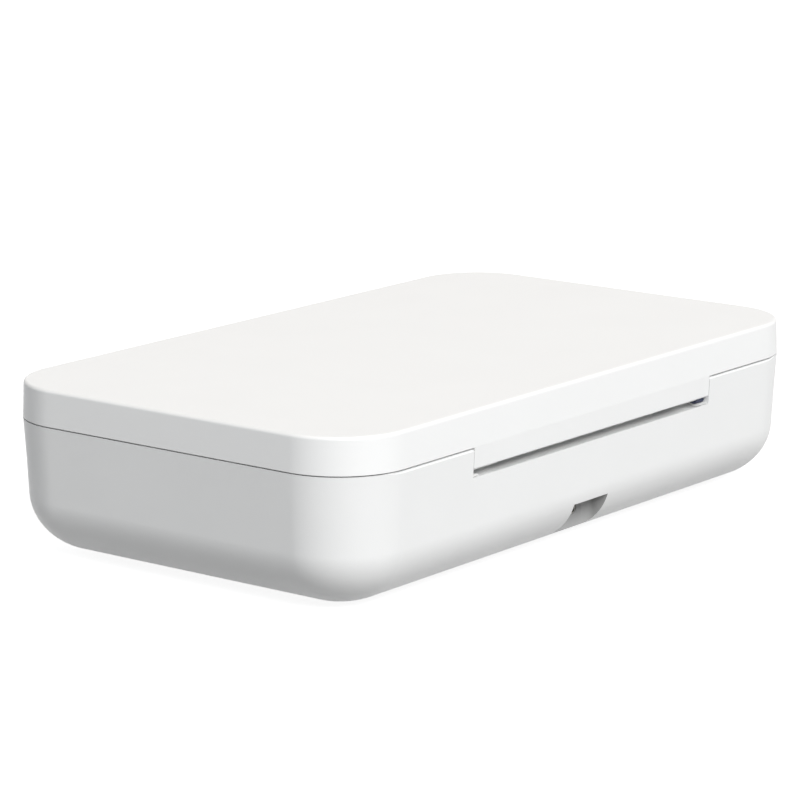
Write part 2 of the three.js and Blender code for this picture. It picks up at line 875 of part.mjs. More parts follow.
// Closed body through rings of equally many points
function stacked(rings) {
  const count = rings[0].length;
  const faces = [];
  for (let k = 0; k + 1 < rings.length; k++) {
    for (let i = 0; i < count; i++) {
      const [a, b] = [k * count + i, k * count + ((i + 1) % count)];
      faces.push(a, b, b + count, a, b + count, a + count);
    }
  }
  const last = (rings.length - 1) * count;
  for (let i = 1; i + 1 < count; i++) {
    faces.push(0, i + 1, i, last, last + i, last + i + 1);
  }
  const geometry = new THREE.BufferGeometry();
  const positions = rings.flat(2);
  geometry.setAttribute("position", new THREE.Float32BufferAttribute(positions, 3));
  geometry.setIndex(faces);
  return solid(geometry);
}

function phoneRack() {
  const arches = [];
  for (let i = 0; i < rackWires; i++) {
    arches.push(rackArch(-rackHalfX + (2 * rackHalfX * i) / (rackWires - 1)));
  }
  const railZ = mirrorFloorZ + rackHeight - 3 * rackWire + rackWeld;
  const rails = sides.map(({ sign }) =>
    bar(
      rackWire,
      2 * (rackHalfX + rackBend),
      "x",
      [-rackHalfX - rackBend, sign * rackRailY, railZ],
      wireSides,
    ),
  );
  return joined([...arches, ...rails]);
}

function mainBoard() {
  const middle = (boardFrontY + boardRearY) / 2;
  const outline = roundedShape(boardHalfX, boardDepth / 2, boardCorner, [0, middle]);
  const holes = standoffPlaces().map(([x, y]) =>
    bar(boardScrewRadius + boreGap, 2 * overrun, "z", [x, y, boardZ - overrun], screwSteps),
  );
  return prism(outline, "z", boardZ, boardTopZ).subtract(joined(holes));
}

// Charging socket: a rounded metal shell with a tongue in it
function usbSocket() {
  const mouthY = portY - portDish - seatGap;
  const backY = mouthY - socketDepth;
  const shell = prism(socketOutline(0), "y", backY, mouthY);
  const inside = prism(socketOutline(-socketShell), "y", backY + socketShell, mouthY + overrun);
  const tongue = block(
    -socketTongueHalf,
    socketTongueHalf,
    backY,
    backY + socketShell + socketTongueLength,
    portZ - socketTongue / 2,
    portZ + socketTongue / 2,
  );
  return shell.subtract(inside).add(tongue);
}

// Ferrite frame with its winding, which lifts the supply to the lamps' voltage
function lampTransformer() {
  const [x, y] = [-boardHalfX / 2, (boardFrontY + boardRearY) / 2];
  const frame = prism(
    polygon([
      [x - transformerHalfX, y - transformerHalfY],
      [x + transformerHalfX, y - transformerHalfY],
      [x + transformerHalfX, y + transformerHalfY],
      [x - transformerHalfX, y + transformerHalfY],
    ]),
    "z",
    partsZ,
    partsZ + transformerHeight,
  );
  const window = block(
    x - transformerHalfX + transformerLimb,
    x + transformerHalfX - transformerLimb,
    y - transformerHalfY + transformerLimb,
    y + transformerHalfY - transformerLimb,
    partsZ - overrun,
    partsZ + transformerHeight + overrun,
  );
  const coilZ = partsZ + transformerHeight / 2;
  const coil = bar(coilRadius, 2 * transformerHalfX - transformerLimb, "x", [
    x - transformerHalfX + transformerLimb / 2,
    y,
    coilZ,
  ]);
  return frame.subtract(window).add(coil);
}

function smoothingCapacitor() {
  const x = boardHalfX / 2 - capacitorLength / 2;
  const y = boardFrontY + standoffInset;
  const neck = capacitorLength - 2 * capacitorRadius;
  const profile = [
    [0, 0],
    [capacitorRadius, 0],
    [capacitorRadius, neck],
    [capacitorRadius - capacitorGroove, neck + capacitorGroove],
    [capacitorRadius, neck + 2 * capacitorGroove],
    [capacitorRadius, capacitorLength],
    [0, capacitorLength],
  ];
  return turned(profile, "x", [x, y, partsZ + capacitorRadius]);
}

function controlChip() {
  const middle = (boardFrontY + boardRearY) / 2;
  const outline = roundedShape(chipHalf, chipHalf, chipBevel, [boardHalfX / 2, middle]);
  return prism(outline, "z", partsZ, partsZ + chipThickness);
}

// Header at one edge of the board, open to the side, that the leads plug into
function boardConnector(sign) {
  const x = sign * (boardHalfX - connectorHalfX - fitGap);
  const y = connectorY();
  const outline = polygon([
    [y - connectorHalfY, partsZ],
    [y + connectorHalfY, partsZ],
    [y + connectorHalfY, partsZ + connectorHeight],
    [y - connectorHalfY, partsZ + connectorHeight],
  ]);
  const mouth = polygon([
    [y - connectorHalfY + connectorWall, partsZ + connectorWall],
    [y + connectorHalfY - connectorWall, partsZ + connectorWall],
    [y + connectorHalfY - connectorWall, partsZ + connectorHeight - connectorWall],
    [y - connectorHalfY + connectorWall, partsZ + connectorHeight - connectorWall],
  ]);
  const body = prism(outline, "x", x - connectorHalfX, x + connectorHalfX);
  const depth = 2 * connectorHalfX - connectorWall;
  const from = x + (sign > 0 ? connectorWall - connectorHalfX : -connectorHalfX - overrun);
  return body.subtract(prism(mouth, "x", from, from + depth + overrun));
}

function connectorY() {
  return (boardFrontY + boardRearY) / 2;
}

// Pan-head screw: the head's flat face is at headZ and the shank points up
function screw(radius, headRadius, headHeight, screwLength, place) {
  const profile = [
    [0, 0],
    [headRadius / 2, 0],
    [headRadius, headHeight / 2],
    [headRadius, headHeight],
    [radius, headHeight],
    [radius, screwLength - radius],
    [0, screwLength],
  ];
  return turned(profile, "z", place, screwSteps);
}

function caseScrew({ x, y }) {
  const headZ = footTopZ + screwSink - seatGap - screwHeadHeight;
  return screw(caseScrewRadius, screwHeadRadius, screwHeadHeight, caseScrewLength, [x, y, headZ]);
}

function lidScrew({ x, y }) {
  const headZ = linerZ + lidScrewSink - seatGap - boardScrewHeadHeight;
  return screw(lidScrewRadius, boardScrewHead, boardScrewHeadHeight, lidScrewLength, [x, y, headZ]);
}

function boardScrew([x, y]) {
  const profile = [
    [0, -boardScrewLength],
    [boardScrewRadius, boardScrewRadius - boardScrewLength],
    [boardScrewRadius, 0],
    [boardScrewHead, 0],
    [boardScrewHead, boardScrewHeadHeight / 2],
    [boardScrewHead / 2, boardScrewHeadHeight],
    [0, boardScrewHeadHeight],
  ];
  return turned(profile, "z", [x, y, boardTopZ + seatGap], screwSteps);
}

function foot({ x, y }) {
  const profile = [
    [0, 0],
    [footRadius - footEdge, 0],
    [footRadius, footEdge],
    [footRadius, footTopZ - seatGap],
    [0, footTopZ - seatGap],
  ];
  return turned(profile, "z", [x, y, 0]);
}

// Steel pin across the gap between a cheek and the lid's knuckle; the left one is hollow
function hingePin(sign) {
  const inner = notchHalf - hingePinReach;
  const outer = cheekX - seatGap;
  const long = outer - inner;
  const profile = [
    [0, 0],
    [hingePinRadius - hingePinChamfer, 0],
    [hingePinRadius, hingePinChamfer],
    [hingePinRadius, long - hingePinChamfer],
    [hingePinRadius - hingePinChamfer, long],
    [0, long],
  ];
  const from = sign > 0 ? inner : -outer;
  const pin = turned(profile, "x", [from, axisY, axisZ]);
  if (sign > 0) return pin;
  return pin.subtract(
    bar(hingePinBore, long + 2 * overrun, "x", [from - overrun, axisY, axisZ]),
  );
}

// Friction bush on the hollow pin, beside the left knuckle and flat against the flap; it turns
// with the lid and keeps the lead's end of the hinge from rattling
function hingeBush() {
  const profile = [
    [0, 0],
    [hingeBushRadius - hingeBushEdge, 0],
    [hingeBushRadius, hingeBushEdge],
    [hingeBushRadius, hingeBushLength - hingeBushEdge],
    [hingeBushRadius - hingeBushEdge, hingeBushLength],
    [0, hingeBushLength],
  ];
  const place = [-flapHalf, axisY, axisZ];
  const flat = block(
    -flapHalf - overrun,
    -flapHalf + hingeBushLength + overrun,
    halfWidth - flapWall - seatGap,
    halfWidth + overrun,
    axisZ - hingeBushRadius - overrun,
    axisZ + hingeBushRadius + overrun,
  );
  return turned(profile, "x", place, 2 * turnSteps)
    .subtract(flat)
    .subtract(bar(hingePinRadius + boreGap, 2 * notchHalf, "x", [-2 * notchHalf, axisY, axisZ]));
}

// Soft pad in one end of the trough; the flap's back lies on it when the lid is open
function hingeBuffer(sign) {
  const from = sign > 0 ? notchHalf - seatGap - bufferLength : seatGap - notchHalf;
  const outer = troughRadius - seatGap;
  const ring = bar(outer, bufferLength, "x", [from, axisY, axisZ], sweepSteps).subtract(
    bar(
      bufferInnerRadius,
      bufferLength + 2 * overrun,
      "x",
      [from - overrun, axisY, axisZ],
      sweepSteps,
    ),
  );
  const landing = new THREE.BoxGeometry(2 * (bufferLength + overrun), 4 * outer, 4 * outer);
  landing.translate(0, 0, -2 * outer - bufferStopDistance);
  landing.rotateX(THREE.MathUtils.degToRad(-(lidOpenAngle - 90 + baseDraft)));
  landing.translate(from, axisY, axisZ);
  const low = block(
    from - overrun,
    from + bufferLength + overrun,
    axisY - outer,
    halfWidth - lipLand,
    blockZ,
    lipZ + bufferRise,
  );
  return ring.intersect(solid(landing)).intersect(low);
}

function powerButton() {
  const outline = (grow) =>
    roundedShape(buttonHalfX + grow, buttonHalfZ + grow, buttonHalfZ + grow, [0, buttonHeight]);
  const innerY = buttonBackY + buttonFlangeThickness;
  const cap = prism(outline(0), "y", buttonFaceY, innerY, cornerSteps);
  const flange = prism(outline(buttonFlange), "y", buttonBackY, innerY, cornerSteps);
  const stemLength = plungerY - seatGap - buttonTravel - buttonBackY;
  const stem = bar(buttonStemRadius, stemLength, "y", [0, buttonBackY, buttonHeight]);
  const dish = new THREE.SphereGeometry(1, turnSteps, smallSteps * 2);
  dish.scale(buttonHalfX - buttonDish, buttonDish, buttonHalfZ - buttonDish);
  dish.translate(0, buttonFaceY, buttonHeight);
  return joined([cap, flange, stem]).subtract(solid(dish));
}

function switchBoard() {
  const middle = (switchBoardRight - switchBoardLeft) / 2;
  const half = (switchBoardRight + switchBoardLeft) / 2;
  const outline = roundedShape(half, switchBoardHalfZ, boardCorner, [middle, buttonHeight]);
  return prism(outline, "y", switchBoardY, switchBoardY + switchBoardThickness);
}

function tactSwitch() {
  const outline = roundedShape(switchHalf, switchHalf, chipBevel, [0, buttonHeight]);
  const body = prism(outline, "y", switchFaceY, switchFaceY + switchDepth);
  const plunger = bar(plungerRadius, plungerLength + switchDepth / 2, "y", [
    0,
    plungerY,
    buttonHeight,
  ]);
  return body.add(plunger);
}

function indicatorLed() {
  const outline = roundedShape(ledHalf, ledHalf, chipBevel, [lensPlace, buttonHeight]);
  const back = switchBoardY - seatGap;
  return prism(outline, "y", back - ledDepth, back);
}

// Clear light pipe from the indicator to the front wall, with a shoulder behind the wall
function indicatorLens() {
  const pipe = switchBoardY - seatGap - ledDepth - seatGap - frontY;
  const shoulder = baseWall + fitGap;
  const profile = [
    [0, 0],
    [lensRadius, 0],
    [lensRadius, shoulder],
    [lensRadius + lensShoulder, shoulder],
    [lensRadius + lensShoulder, shoulder + lensShoulderLength],
    [lensRadius, shoulder + lensShoulderLength],
    [lensRadius, pipe],
    [0, pipe],
  ];
  return turned(profile, "y", [lensPlace, frontY, buttonHeight]);
}

function lidSensor() {
  const top = deckUnderZ - seatGap;
  return block(
    keyMagnetPlace - sensorHalfX,
    keyMagnetPlace + sensorHalfX,
    magnetY - sensorHalfY,
    magnetY + sensorHalfY,
    top - sensorThickness,
    top,
  );
}

function magnet(radius, x, z) {
  return bar(radius, magnetThickness, "z", [x, magnetY, z]);
}

// Profile of the flap's wall in (Y, Z), with a small round along its bottom edge
function flapWallShape() {
  const outer = halfWidth + overrun;
  const inner = halfWidth - flapWall;
  const edgeOut = baseHalfWidthAt(flapBottomZ);
  const shape = new THREE.Shape();
  shape.moveTo(inner, flapBottomZ);
  shape.lineTo(edgeOut - flapEdgeRadius, flapBottomZ);
  shape.absarc(
    edgeOut - flapEdgeRadius,
    flapBottomZ + flapEdgeRadius,
    flapEdgeRadius,
    -Math.PI / 2,
    0,
  );
  shape.lineTo(outer, flapBottomZ + flapEdgeRadius);
  shape.lineTo(outer, lidZ + lidLipHeight / 2);
  shape.lineTo(inner, lidZ + lidLipHeight / 2);
  return shape;
}

// Profile of a knuckle in (Y, Z): a round barrel under a web that rises to the lid
function knuckleShape() {
  const shape = new THREE.Shape();
  const web = lidZ - seatGap;
  shape.moveTo(axisY - knuckleRadius, web);
  shape.absarc(axisY, axisZ, knuckleRadius, Math.PI, 1.5 * Math.PI);
  shape.absarc(axisY, axisZ, knuckleRadius, 1.5 * Math.PI, 2 * Math.PI);
  shape.lineTo(axisY + knuckleRadius, web);
  return shape;
}

// Flap with a knuckle at each end and thin ribs between them; the bush takes the left knuckle's end
function hingeFlap() {
  const skin = [
    caseSection(flapSetback + baseSlope * (lidZ - flapBottomZ + overrun), flapBottomZ - overrun),
    caseSection(flapSetback, lidZ),
    caseSection(lidLip / 2, lidZ + lidLipHeight),
  ];
  const outline = roundedShape(flapHalf, flapHang, flapCornerRadius, [0, lidZ]);
  const wall = prism(flapWallShape(), "x", -flapHalf, flapHalf)
    .intersect(loft(skin))
    .intersect(prism(outline, "y", axisY, halfWidth + overrun));
  const knuckles = [
    [-flapHalf + hingeBushLength + seatGap, -flapHalf + knuckleLength],
    [flapHalf - knuckleLength, flapHalf],
  ].map(([from, to]) => prism(knuckleShape(), "x", from, to, cornerSteps));
  const ribSpan = 2 * (flapHalf - knuckleLength);
  const ribs = [];
  for (let i = 1; i <= flapRibCount; i++) {
    const x = -ribSpan / 2 + (ribSpan * i) / (flapRibCount + 1);
    ribs.push(prism(knuckleShape(), "x", x - flapRibWidth / 2, x + flapRibWidth / 2));
  }
  const bores = sides.map(({ sign }) => {
    const long = hingePinReach + seatGap + overrun;
    const from = sign > 0 ? notchHalf - hingePinReach - seatGap : -notchHalf - overrun;
    return bar(hingePinRadius + boreGap, long, "x", [from, axisY, axisZ]);
  });
  const leadBore = bar(hingePinBore, knuckleLength + 2 * overrun, "x", [
    -flapHalf - overrun,
    axisY,
    axisZ,
  ]);
  return joined([wall, ...knuckles, ...ribs]).subtract(joined([...bores, leadBore]));
}

function lidShell() {
  const outer = loft(lidSections(0, lidZ, topZ, lidEdgeRadius));
  const cavity = loft(lidSections(lidWall, lidZ - overrun, ceilingZ, lidInnerRadius));
  const lip = loft([
    caseSection(lidLip, lidZ - overrun),
    caseSection(lidLip, lidZ + lidLipHeight),
  ]);
  const bosses = lidScrewPlaces().map(({ x, y }) =>
    bar(lidBossRadius, lidTop / 2 + ceilingZ - lidBossZ(), "z", [x, y, lidBossZ()]),
  );
  const pilots = lidScrewPlaces().map(({ x, y }) =>
    bar(
      lidScrewRadius + boreGap,
      lidScrewLength,
      "z",
      [x, y, lidBossZ() - overrun / 2],
      screwSteps,
    ),
  );
  return outer
    .subtract(cavity)
    .subtract(lip)
    .add(joined(bosses).subtract(joined(pilots)))
    .add(hingeFlap());
}

function lidScrewPlaces() {
  return corners(lidScrewX, lidScrewY);
}

function lidBossZ() {
  return linerZ + lidScrewPadHeight + seatGap;
}

// Liner of the lid: a flat frame that closes on the seal, and the dish over the chamber
function lidLiner() {
  const inset = lidWall + fitGap + lidSlope * lidHeight;
  const plate = loft([caseSection(inset, linerZ), caseSection(inset, linerTopZ)]);
  const dish = loft(dishSections(dishWall, linerZ + linerPlate / 2, dishTopZ));
  const room = loft(dishSections(0, linerZ - overrun, dishCeilingZ));
  const pads = lidScrewPlaces().map(({ x, y }) =>
    bar(lidScrewPad, lidScrewPadHeight, "z", [x, y, linerZ]),
  );
  const sinks = lidScrewPlaces().map(({ x, y }) =>
    bar(boardScrewHead + fitGap, lidScrewSink + overrun, "z", [x, y, linerZ - overrun]),
  );
  const holes = lidScrewPlaces().map(({ x, y }) =>
    bar(
      lidScrewRadius + boreGap,
      lidScrewPadHeight + 2 * overrun,
      "z",
      [x, y, linerZ - overrun],
      screwSteps,
    ),
  );
  const collars = magnetPlaces().map(({ radius, x }) =>
    collar(radius, x, magnetY, linerTopZ - seatGap).subtract(
      bar(radius + boreGap, collarHeight + overrun, "z", [x, magnetY, linerTopZ]),
    ),
  );
  const leadPass = block(
    -flapHalf + knuckleLength,
    -flapHalf + knuckleLength + flapLeadRoom(),
    axisY - knuckleRadius,
    halfWidth,
    linerZ - overrun,
    linerTopZ + overrun,
  );
  const sidePass = bar(leadHole, sideFlange, "x", [-halfLength, 0, upperLampZ]);
  return joined([plate.add(dish).subtract(room), ...pads, ...collars])
    .subtract(joined([...sinks, ...holes]))
    .subtract(leadPass)
    .subtract(sidePass.add(bar(leadHole, sideFlange, "x", [-chamberHalfX - fitGap, 0, upperLampZ])));
}

// Free length along the flap between the left knuckle and its first rib
function flapLeadRoom() {
  return (2 * (flapHalf - knuckleLength)) / (flapRibCount + 1) - flapRibWidth;
}

function lidMirror() {
  const outer = loft(dishSections(-mirrorGap, linerZ + seatGap, dishCeilingZ - mirrorGap));
  const inside = -mirrorGap - dishMirror;
  const inner = loft(dishSections(inside, linerZ - overrun, dishMirrorZ));
  const pass = bar(leadHole, 2 * sideFlange, "x", [-halfLength - sideFlange / 2, 0, upperLampZ]);
  return outer.subtract(inner).subtract(pass);
}

// Ladder of thin wires under the upper lamp, held between the two lamp holders
function lampGuard() {
  const z = upperLampZ - guardDrop;
  const rails = sides.map(({ sign }) =>
    bar(guardWire, 2 * guardReach(), "x", [-guardReach(), sign * guardHalfY, z], wireSides),
  );
  const rungs = [];
  for (let i = 0; i < guardWires; i++) {
    const x = (guardReach() - guardWire) * ((2 * i) / (guardWires - 1) - 1);
    rungs.push(bar(guardWire, 2 * guardHalfY, "y", [x, -guardHalfY, z], wireSides));
  }
  return joined([...rails, ...rungs]);
}

function guardReach() {
  return holderX - fitGap;
}

// Lead of the lid: along the floor from the board, up beside the trough and into the hollow pin
function hingeLeadRoute() {
  const x = -cheekX - 3 * leadBend;
  const y = connectorY() + leadPitch;
  return [
    [-boardHalfX + connectorHalfX, y, leadZ],
    [-boardHalfX - leadBend, y, leadZ],
    [x + 4 * leadBend, chamberHalfY - 2 * leadBend, leadZ],
    [x, chamberHalfY, leadZ + leadBend / 2],
    [x, blockY - leadBend, (leadZ + axisZ) / 2],
    [x, axisY - leadBend, axisZ - 2 * leadBend],
    [x + leadBend, axisY - leadEase, axisZ - leadSag],
    [x + 2 * leadBend, axisY, axisZ],
    [-cheekX, axisY, axisZ],
    [-notchHalf, axisY, axisZ],
    [-notchHalf + hingePinReach, axisY, axisZ],
  ];
}

// Rest of that lead: out of the knuckle, up behind the flap and round the dish to the lamp
function lidLeadRoute() {
  const from = -notchHalf + hingePinReach + fitGap;
  const x = -flapHalf + knuckleLength + flapLeadRoom() / 2;
  const y = axisY - leadRadius;
  const away = -chamberHalfX - 2 * leadBend;
  return [
    [from, axisY, axisZ],
    [-flapHalf + knuckleLength, axisY, axisZ],
    [x, y, axisZ + leadBend / 2],
    [x + leadBend / 2, y, axisZ + 2 * leadBend - leadRadius],
    [x, y - leadRadius, upperLampZ - leadRadius],
    [x - 2 * leadBend, chamberHalfY + 3 * leadBend, upperLampZ],
    [-lidScrewX + 2 * leadBend, chamberHalfY + leadBend, upperLampZ],
    [-chamberHalfX + leadBend, chamberHalfY, upperLampZ],
    [away, chamberHalfY - 4 * leadBend, upperLampZ],
    [away, 2 * leadBend, upperLampZ],
    [away + leadBend, 0, upperLampZ],
    [away + 2 * leadBend, 0, upperLampZ],
    [-holderX - holderLength - fitGap, 0, upperLampZ],
  ];
}

// Lead of the lower lamp: down through the tub's floor and across to the board
function lampLeadRoute(sign) {
  const x = sign * lowerLeadX();
  const y = connectorY() - leadPitch;
  return [
    [x, 0, mirrorFloorZ],
    [x, 0, tubFloorZ],
    [x, 0, tubUnderZ],
    [x - sign * leadBend, leadBend / 2, leadZ],
    [x - sign * 6 * leadBend, y / 2, leadZ],
    [sign * (boardHalfX + 2 * leadBend), y, leadZ],
    [sign * (boardHalfX - connectorHalfX), y, leadZ],
  ];
}

// Finishes
function finish(colour, roughness, metalness = 0) {
  return new THREE.MeshStandardMaterial({ color: colour, roughness, metalness });
}

const whiteCase = finish(0xf3f3f1, 0.42);
const whiteInside = finish(0xeeeeec, 0.55);
const mirrorFinish = finish(0xdfe3e6, 0.12, 1);
const steel = finish(0xb9bcc0, 0.3, 1);
const zinc = finish(0xa7abb0, 0.4, 1);
const nickel = finish(0xc9c7c0, 0.25, 1);
const glass = finish(0xe6f0f6, 0.08);
const ceramic = finish(0xe8e6e0, 0.6);
const greyRubber = finish(0x8f9296, 0.8);
const sealRubber = finish(0xc4c6c8, 0.75);
const padRubber = finish(0xe4e4e2, 0.75);
const navyNylon = finish(0x2b3248, 0.5);
const boardGreen = finish(0x1f5a3c, 0.5);
const blackPlastic = finish(0x1c1c1e, 0.5);
const ferrite = finish(0x35353a, 0.7);
const sleeveBlack = finish(0x26262a, 0.6);
const clearLens = finish(0xdfeefa, 0.1);

// A geometry for drawing from a finished solid
function geometryOf(made) {
  const mesh = made.getMesh();
  const geometry = new THREE.BufferGeometry();
  geometry.setAttribute("position", new THREE.BufferAttribute(mesh.vertProperties, 3));
  geometry.setIndex(new THREE.BufferAttribute(mesh.triVerts, 1));
  geometry.computeVertexNormals();
  return geometry;
}

function piece(name, made, material) {
  const mesh = new THREE.Mesh(geometryOf(made), material);
  mesh.name = name;
  return mesh;
}

function baseGroup() {
  const group = new THREE.Group();
  group.add(
    piece("base_shell", baseShell(), whiteCase),
    piece("inner_tray", innerTray(), whiteInside),
    piece("base_mirror", baseMirror(), mirrorFinish),
    piece("chamber_seal", chamberSeal(), sealRubber),
    piece("lower_lamp", lamp(lowerLampZ), glass),
    piece("phone_rack", phoneRack(), steel),
    piece("main_board", mainBoard(), boardGreen),
    piece("usb_socket", usbSocket(), nickel),
    piece("lamp_transformer", lampTransformer(), ferrite),
    piece("smoothing_capacitor", smoothingCapacitor(), sleeveBlack),
    piece("control_chip", controlChip(), blackPlastic),
    piece("switch_board", switchBoard(), boardGreen),
    piece("tact_switch", tactSwitch(), blackPlastic),
    piece("indicator_led", indicatorLed(), clearLens),
    piece("indicator_lens", indicatorLens(), clearLens),
    piece("lid_sensor", lidSensor(), blackPlastic),
    piece("hinge_lead", lead(hingeLeadRoute()), sleeveBlack),
  );
  standoffPlaces()
    .slice(0, 2)
    .forEach((place, i) => group.add(piece("board_screw_" + (i + 1), boardScrew(place), zinc)));
  for (const corner of corners(footX, footY)) {
    group.add(piece("foot_" + corner.name, foot(corner), greyRubber));
    group.add(piece("case_screw_" + corner.name, caseScrew(corner), zinc));
  }
  for (const { name, sign } of sides) {
    const holder = lampHolder(sign, lowerLampZ, mirrorFloorZ + seatGap);
    const magnetZ = deckUnderZ - seatGap - magnetThickness;
    group.add(
      piece("lower_lamp_holder_" + name, holder, ceramic),
      piece("lower_lamp_lead_" + name, lead(lampLeadRoute(sign)), sleeveBlack),
      piece("board_connector_" + name, boardConnector(sign), whiteInside),
      piece("base_magnet_" + name, magnet(magnetRadius, sign * magnetSpread, magnetZ), nickel),
      piece("hinge_pin_" + name, hingePin(sign), steel),
      piece("hinge_buffer_" + name, hingeBuffer(sign), padRubber),
    );
  }
  return group;
}

function lidGroup() {
  const group = new THREE.Group();
  const magnetZ = linerTopZ + seatGap;
  group.add(
    piece("lid_shell", lidShell(), whiteCase),
    piece("lid_liner", lidLiner(), whiteInside),
    piece("lid_mirror", lidMirror(), mirrorFinish),
    piece("upper_lamp", lamp(upperLampZ), glass),
    piece("upper_lamp_guard", lampGuard(), steel),
    piece("key_magnet", magnet(keyMagnetRadius, keyMagnetPlace, magnetZ), nickel),
    piece("lid_lead", lead(lidLeadRoute()), sleeveBlack),
    piece("hinge_bush", hingeBush(), navyNylon),
  );
  for (const { name, sign } of sides) {
    const holder = lampHolder(sign, upperLampZ, dishMirrorZ - seatGap);
    group.add(
      piece("upper_lamp_holder_" + name, holder, ceramic),
      piece("lid_magnet_" + name, magnet(magnetRadius, sign * magnetSpread, magnetZ), nickel),
    );
  }
  for (const corner of lidScrewPlaces()) {
    group.add(piece("lid_screw_" + corner.name, lidScrew(corner), zinc));
  }
  return group;
}

const box = new THREE.Group();
box.add(baseGroup(), lidGroup(), piece("power_button", powerButton(), whiteCase));

export default box;
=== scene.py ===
"""Dresses a UV sanitizer box for phones: its moulded housings, its inner parts and their finishes.

Sizes are in millimetres while a piece is modelled. A finished piece is brought to metres, in the
frame's own place.
"""

import json
import logging
import math
from contextlib import contextmanager
from dataclasses import dataclass, field
from enum import Enum
from typing import Callable, Iterator, NamedTuple, Sequence

import bmesh
import bpy
from bpy.types import Material, Node, NodeSocket, NodeTree, Object
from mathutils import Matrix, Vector

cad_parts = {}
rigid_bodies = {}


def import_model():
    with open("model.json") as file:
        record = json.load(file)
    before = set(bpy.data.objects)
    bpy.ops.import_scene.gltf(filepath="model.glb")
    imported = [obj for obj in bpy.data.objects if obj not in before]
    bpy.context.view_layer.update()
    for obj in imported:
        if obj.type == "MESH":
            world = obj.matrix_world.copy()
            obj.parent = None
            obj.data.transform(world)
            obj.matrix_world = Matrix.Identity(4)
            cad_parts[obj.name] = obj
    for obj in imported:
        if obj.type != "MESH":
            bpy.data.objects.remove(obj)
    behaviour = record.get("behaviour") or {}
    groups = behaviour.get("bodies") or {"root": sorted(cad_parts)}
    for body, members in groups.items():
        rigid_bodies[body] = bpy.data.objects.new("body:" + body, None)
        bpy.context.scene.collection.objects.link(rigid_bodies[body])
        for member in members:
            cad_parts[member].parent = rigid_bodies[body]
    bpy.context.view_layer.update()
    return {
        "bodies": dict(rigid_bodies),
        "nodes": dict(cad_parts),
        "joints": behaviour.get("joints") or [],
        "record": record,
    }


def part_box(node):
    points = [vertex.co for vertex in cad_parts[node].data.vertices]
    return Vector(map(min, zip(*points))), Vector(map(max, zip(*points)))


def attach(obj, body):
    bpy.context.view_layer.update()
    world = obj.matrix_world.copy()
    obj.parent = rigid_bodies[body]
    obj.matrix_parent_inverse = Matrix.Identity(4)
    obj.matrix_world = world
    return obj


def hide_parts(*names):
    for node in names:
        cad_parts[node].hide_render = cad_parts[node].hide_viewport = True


LOG = logging.getLogger("sanitizer_box")
METRES_PER_MM = 0.001
CLEARANCE = 0.1  # room between two pieces that meet
OVER = 5.0  # how far a cutting body reaches past what it cuts
CLOSE = 0.01  # two places nearer than this are the same
SQUARE = 0.99  # the least share of its normal along an axis for a face that is square to it
SIDES = ("left", "right")
QUARTERS = ("front_left", "front_right", "rear_left", "rear_right")

Point = tuple[float, float, float]
Place = tuple[float, float]
Step = tuple[float, float]
Feed = dict[str | int, object]
FRAME: dict = {}


class Joining(Enum):
    """How a tool body changes the body that it meets."""

    CUT = "DIFFERENCE"
    ADD = "UNION"
    KEEP_COMMON = "INTERSECT"


class Axis(Enum):
    """Direction that a round bar runs in, with the turn that lays an upright bar along it."""

    X = (0.0, math.pi / 2, 0.0)
    Y = (math.pi / 2, 0.0, 0.0)
    Z = (0.0, 0.0, 0.0)


class Facing(Enum):
    """Which flat cap of a body is walked through a list of steps."""

    UP = 1
    DOWN = -1


class Part(Enum):
    """What is selected in edit mode."""

    CORNER = "VERT"
    EDGE = "EDGE"
    FACE = "FACE"


# What a test of each kind of part is given: a place, two ends, or a middle and a normal
PART_POINTS = {
    Part.CORNER: lambda mesh: [(v, v.co) for v in mesh.verts],
    Part.EDGE: lambda mesh: [(e, e.verts[0].co, e.verts[1].co) for e in mesh.edges],
    Part.FACE: lambda mesh: [(f, f.calc_center_median(), f.normal) for f in mesh.faces],
}


# The work bench: how pieces are shaped


def pick_object(obj: Object) -> None:
    """Select one object alone and make it the active one.

    Args:
        obj: The object.
    """
    bpy.ops.object.select_all(action="DESELECT")
    obj.select_set(True)
    bpy.context.view_layer.objects.active = obj


@contextmanager
def editing(
    obj: Object, part: Part = Part.FACE, wanted: Callable[..., bool] | None = None
) -> Iterator[None]:
    """Open one object in edit mode with chosen parts selected, and close it afterwards.

    Args:
        obj: The object to edit.
        part: What is selected.
        wanted: A test of the part's points. Without it everything is selected.
    """
    pick_object(obj)
    bpy.ops.object.mode_set(mode="EDIT")
    bpy.ops.mesh.select_mode(type=part.value)
    bpy.ops.mesh.select_all(action="DESELECT" if wanted else "SELECT")
    if wanted:
        mesh = bmesh.from_edit_mesh(obj.data)
        for item, *points in PART_POINTS[part](mesh):
            item.select_set(wanted(*points))
        if part is Part.CORNER:
            mesh.select_flush(True)
        bmesh.update_edit_mesh(obj.data)
    yield
    bpy.ops.object.mode_set(mode="OBJECT")


def extrude(way: Point) -> None:
    """Draw what is selected along a way."""
    bpy.ops.mesh.extrude_region_move(TRANSFORM_OT_translate={"value": way})


def settle(obj: Object) -> Object:
    """Write an object's own place, turn and size into its mesh, and return it.

    Args:
        obj: The object.

    Returns:
        The same object.
    """
    pick_object(obj)
    bpy.ops.object.transform_apply(location=True, rotation=True, scale=True)
    return obj


def face_outwards(obj: Object) -> None:
    """Turn every face of a closed body outwards."""
    with editing(obj):
        bpy.ops.mesh.normals_make_consistent(inside=False)


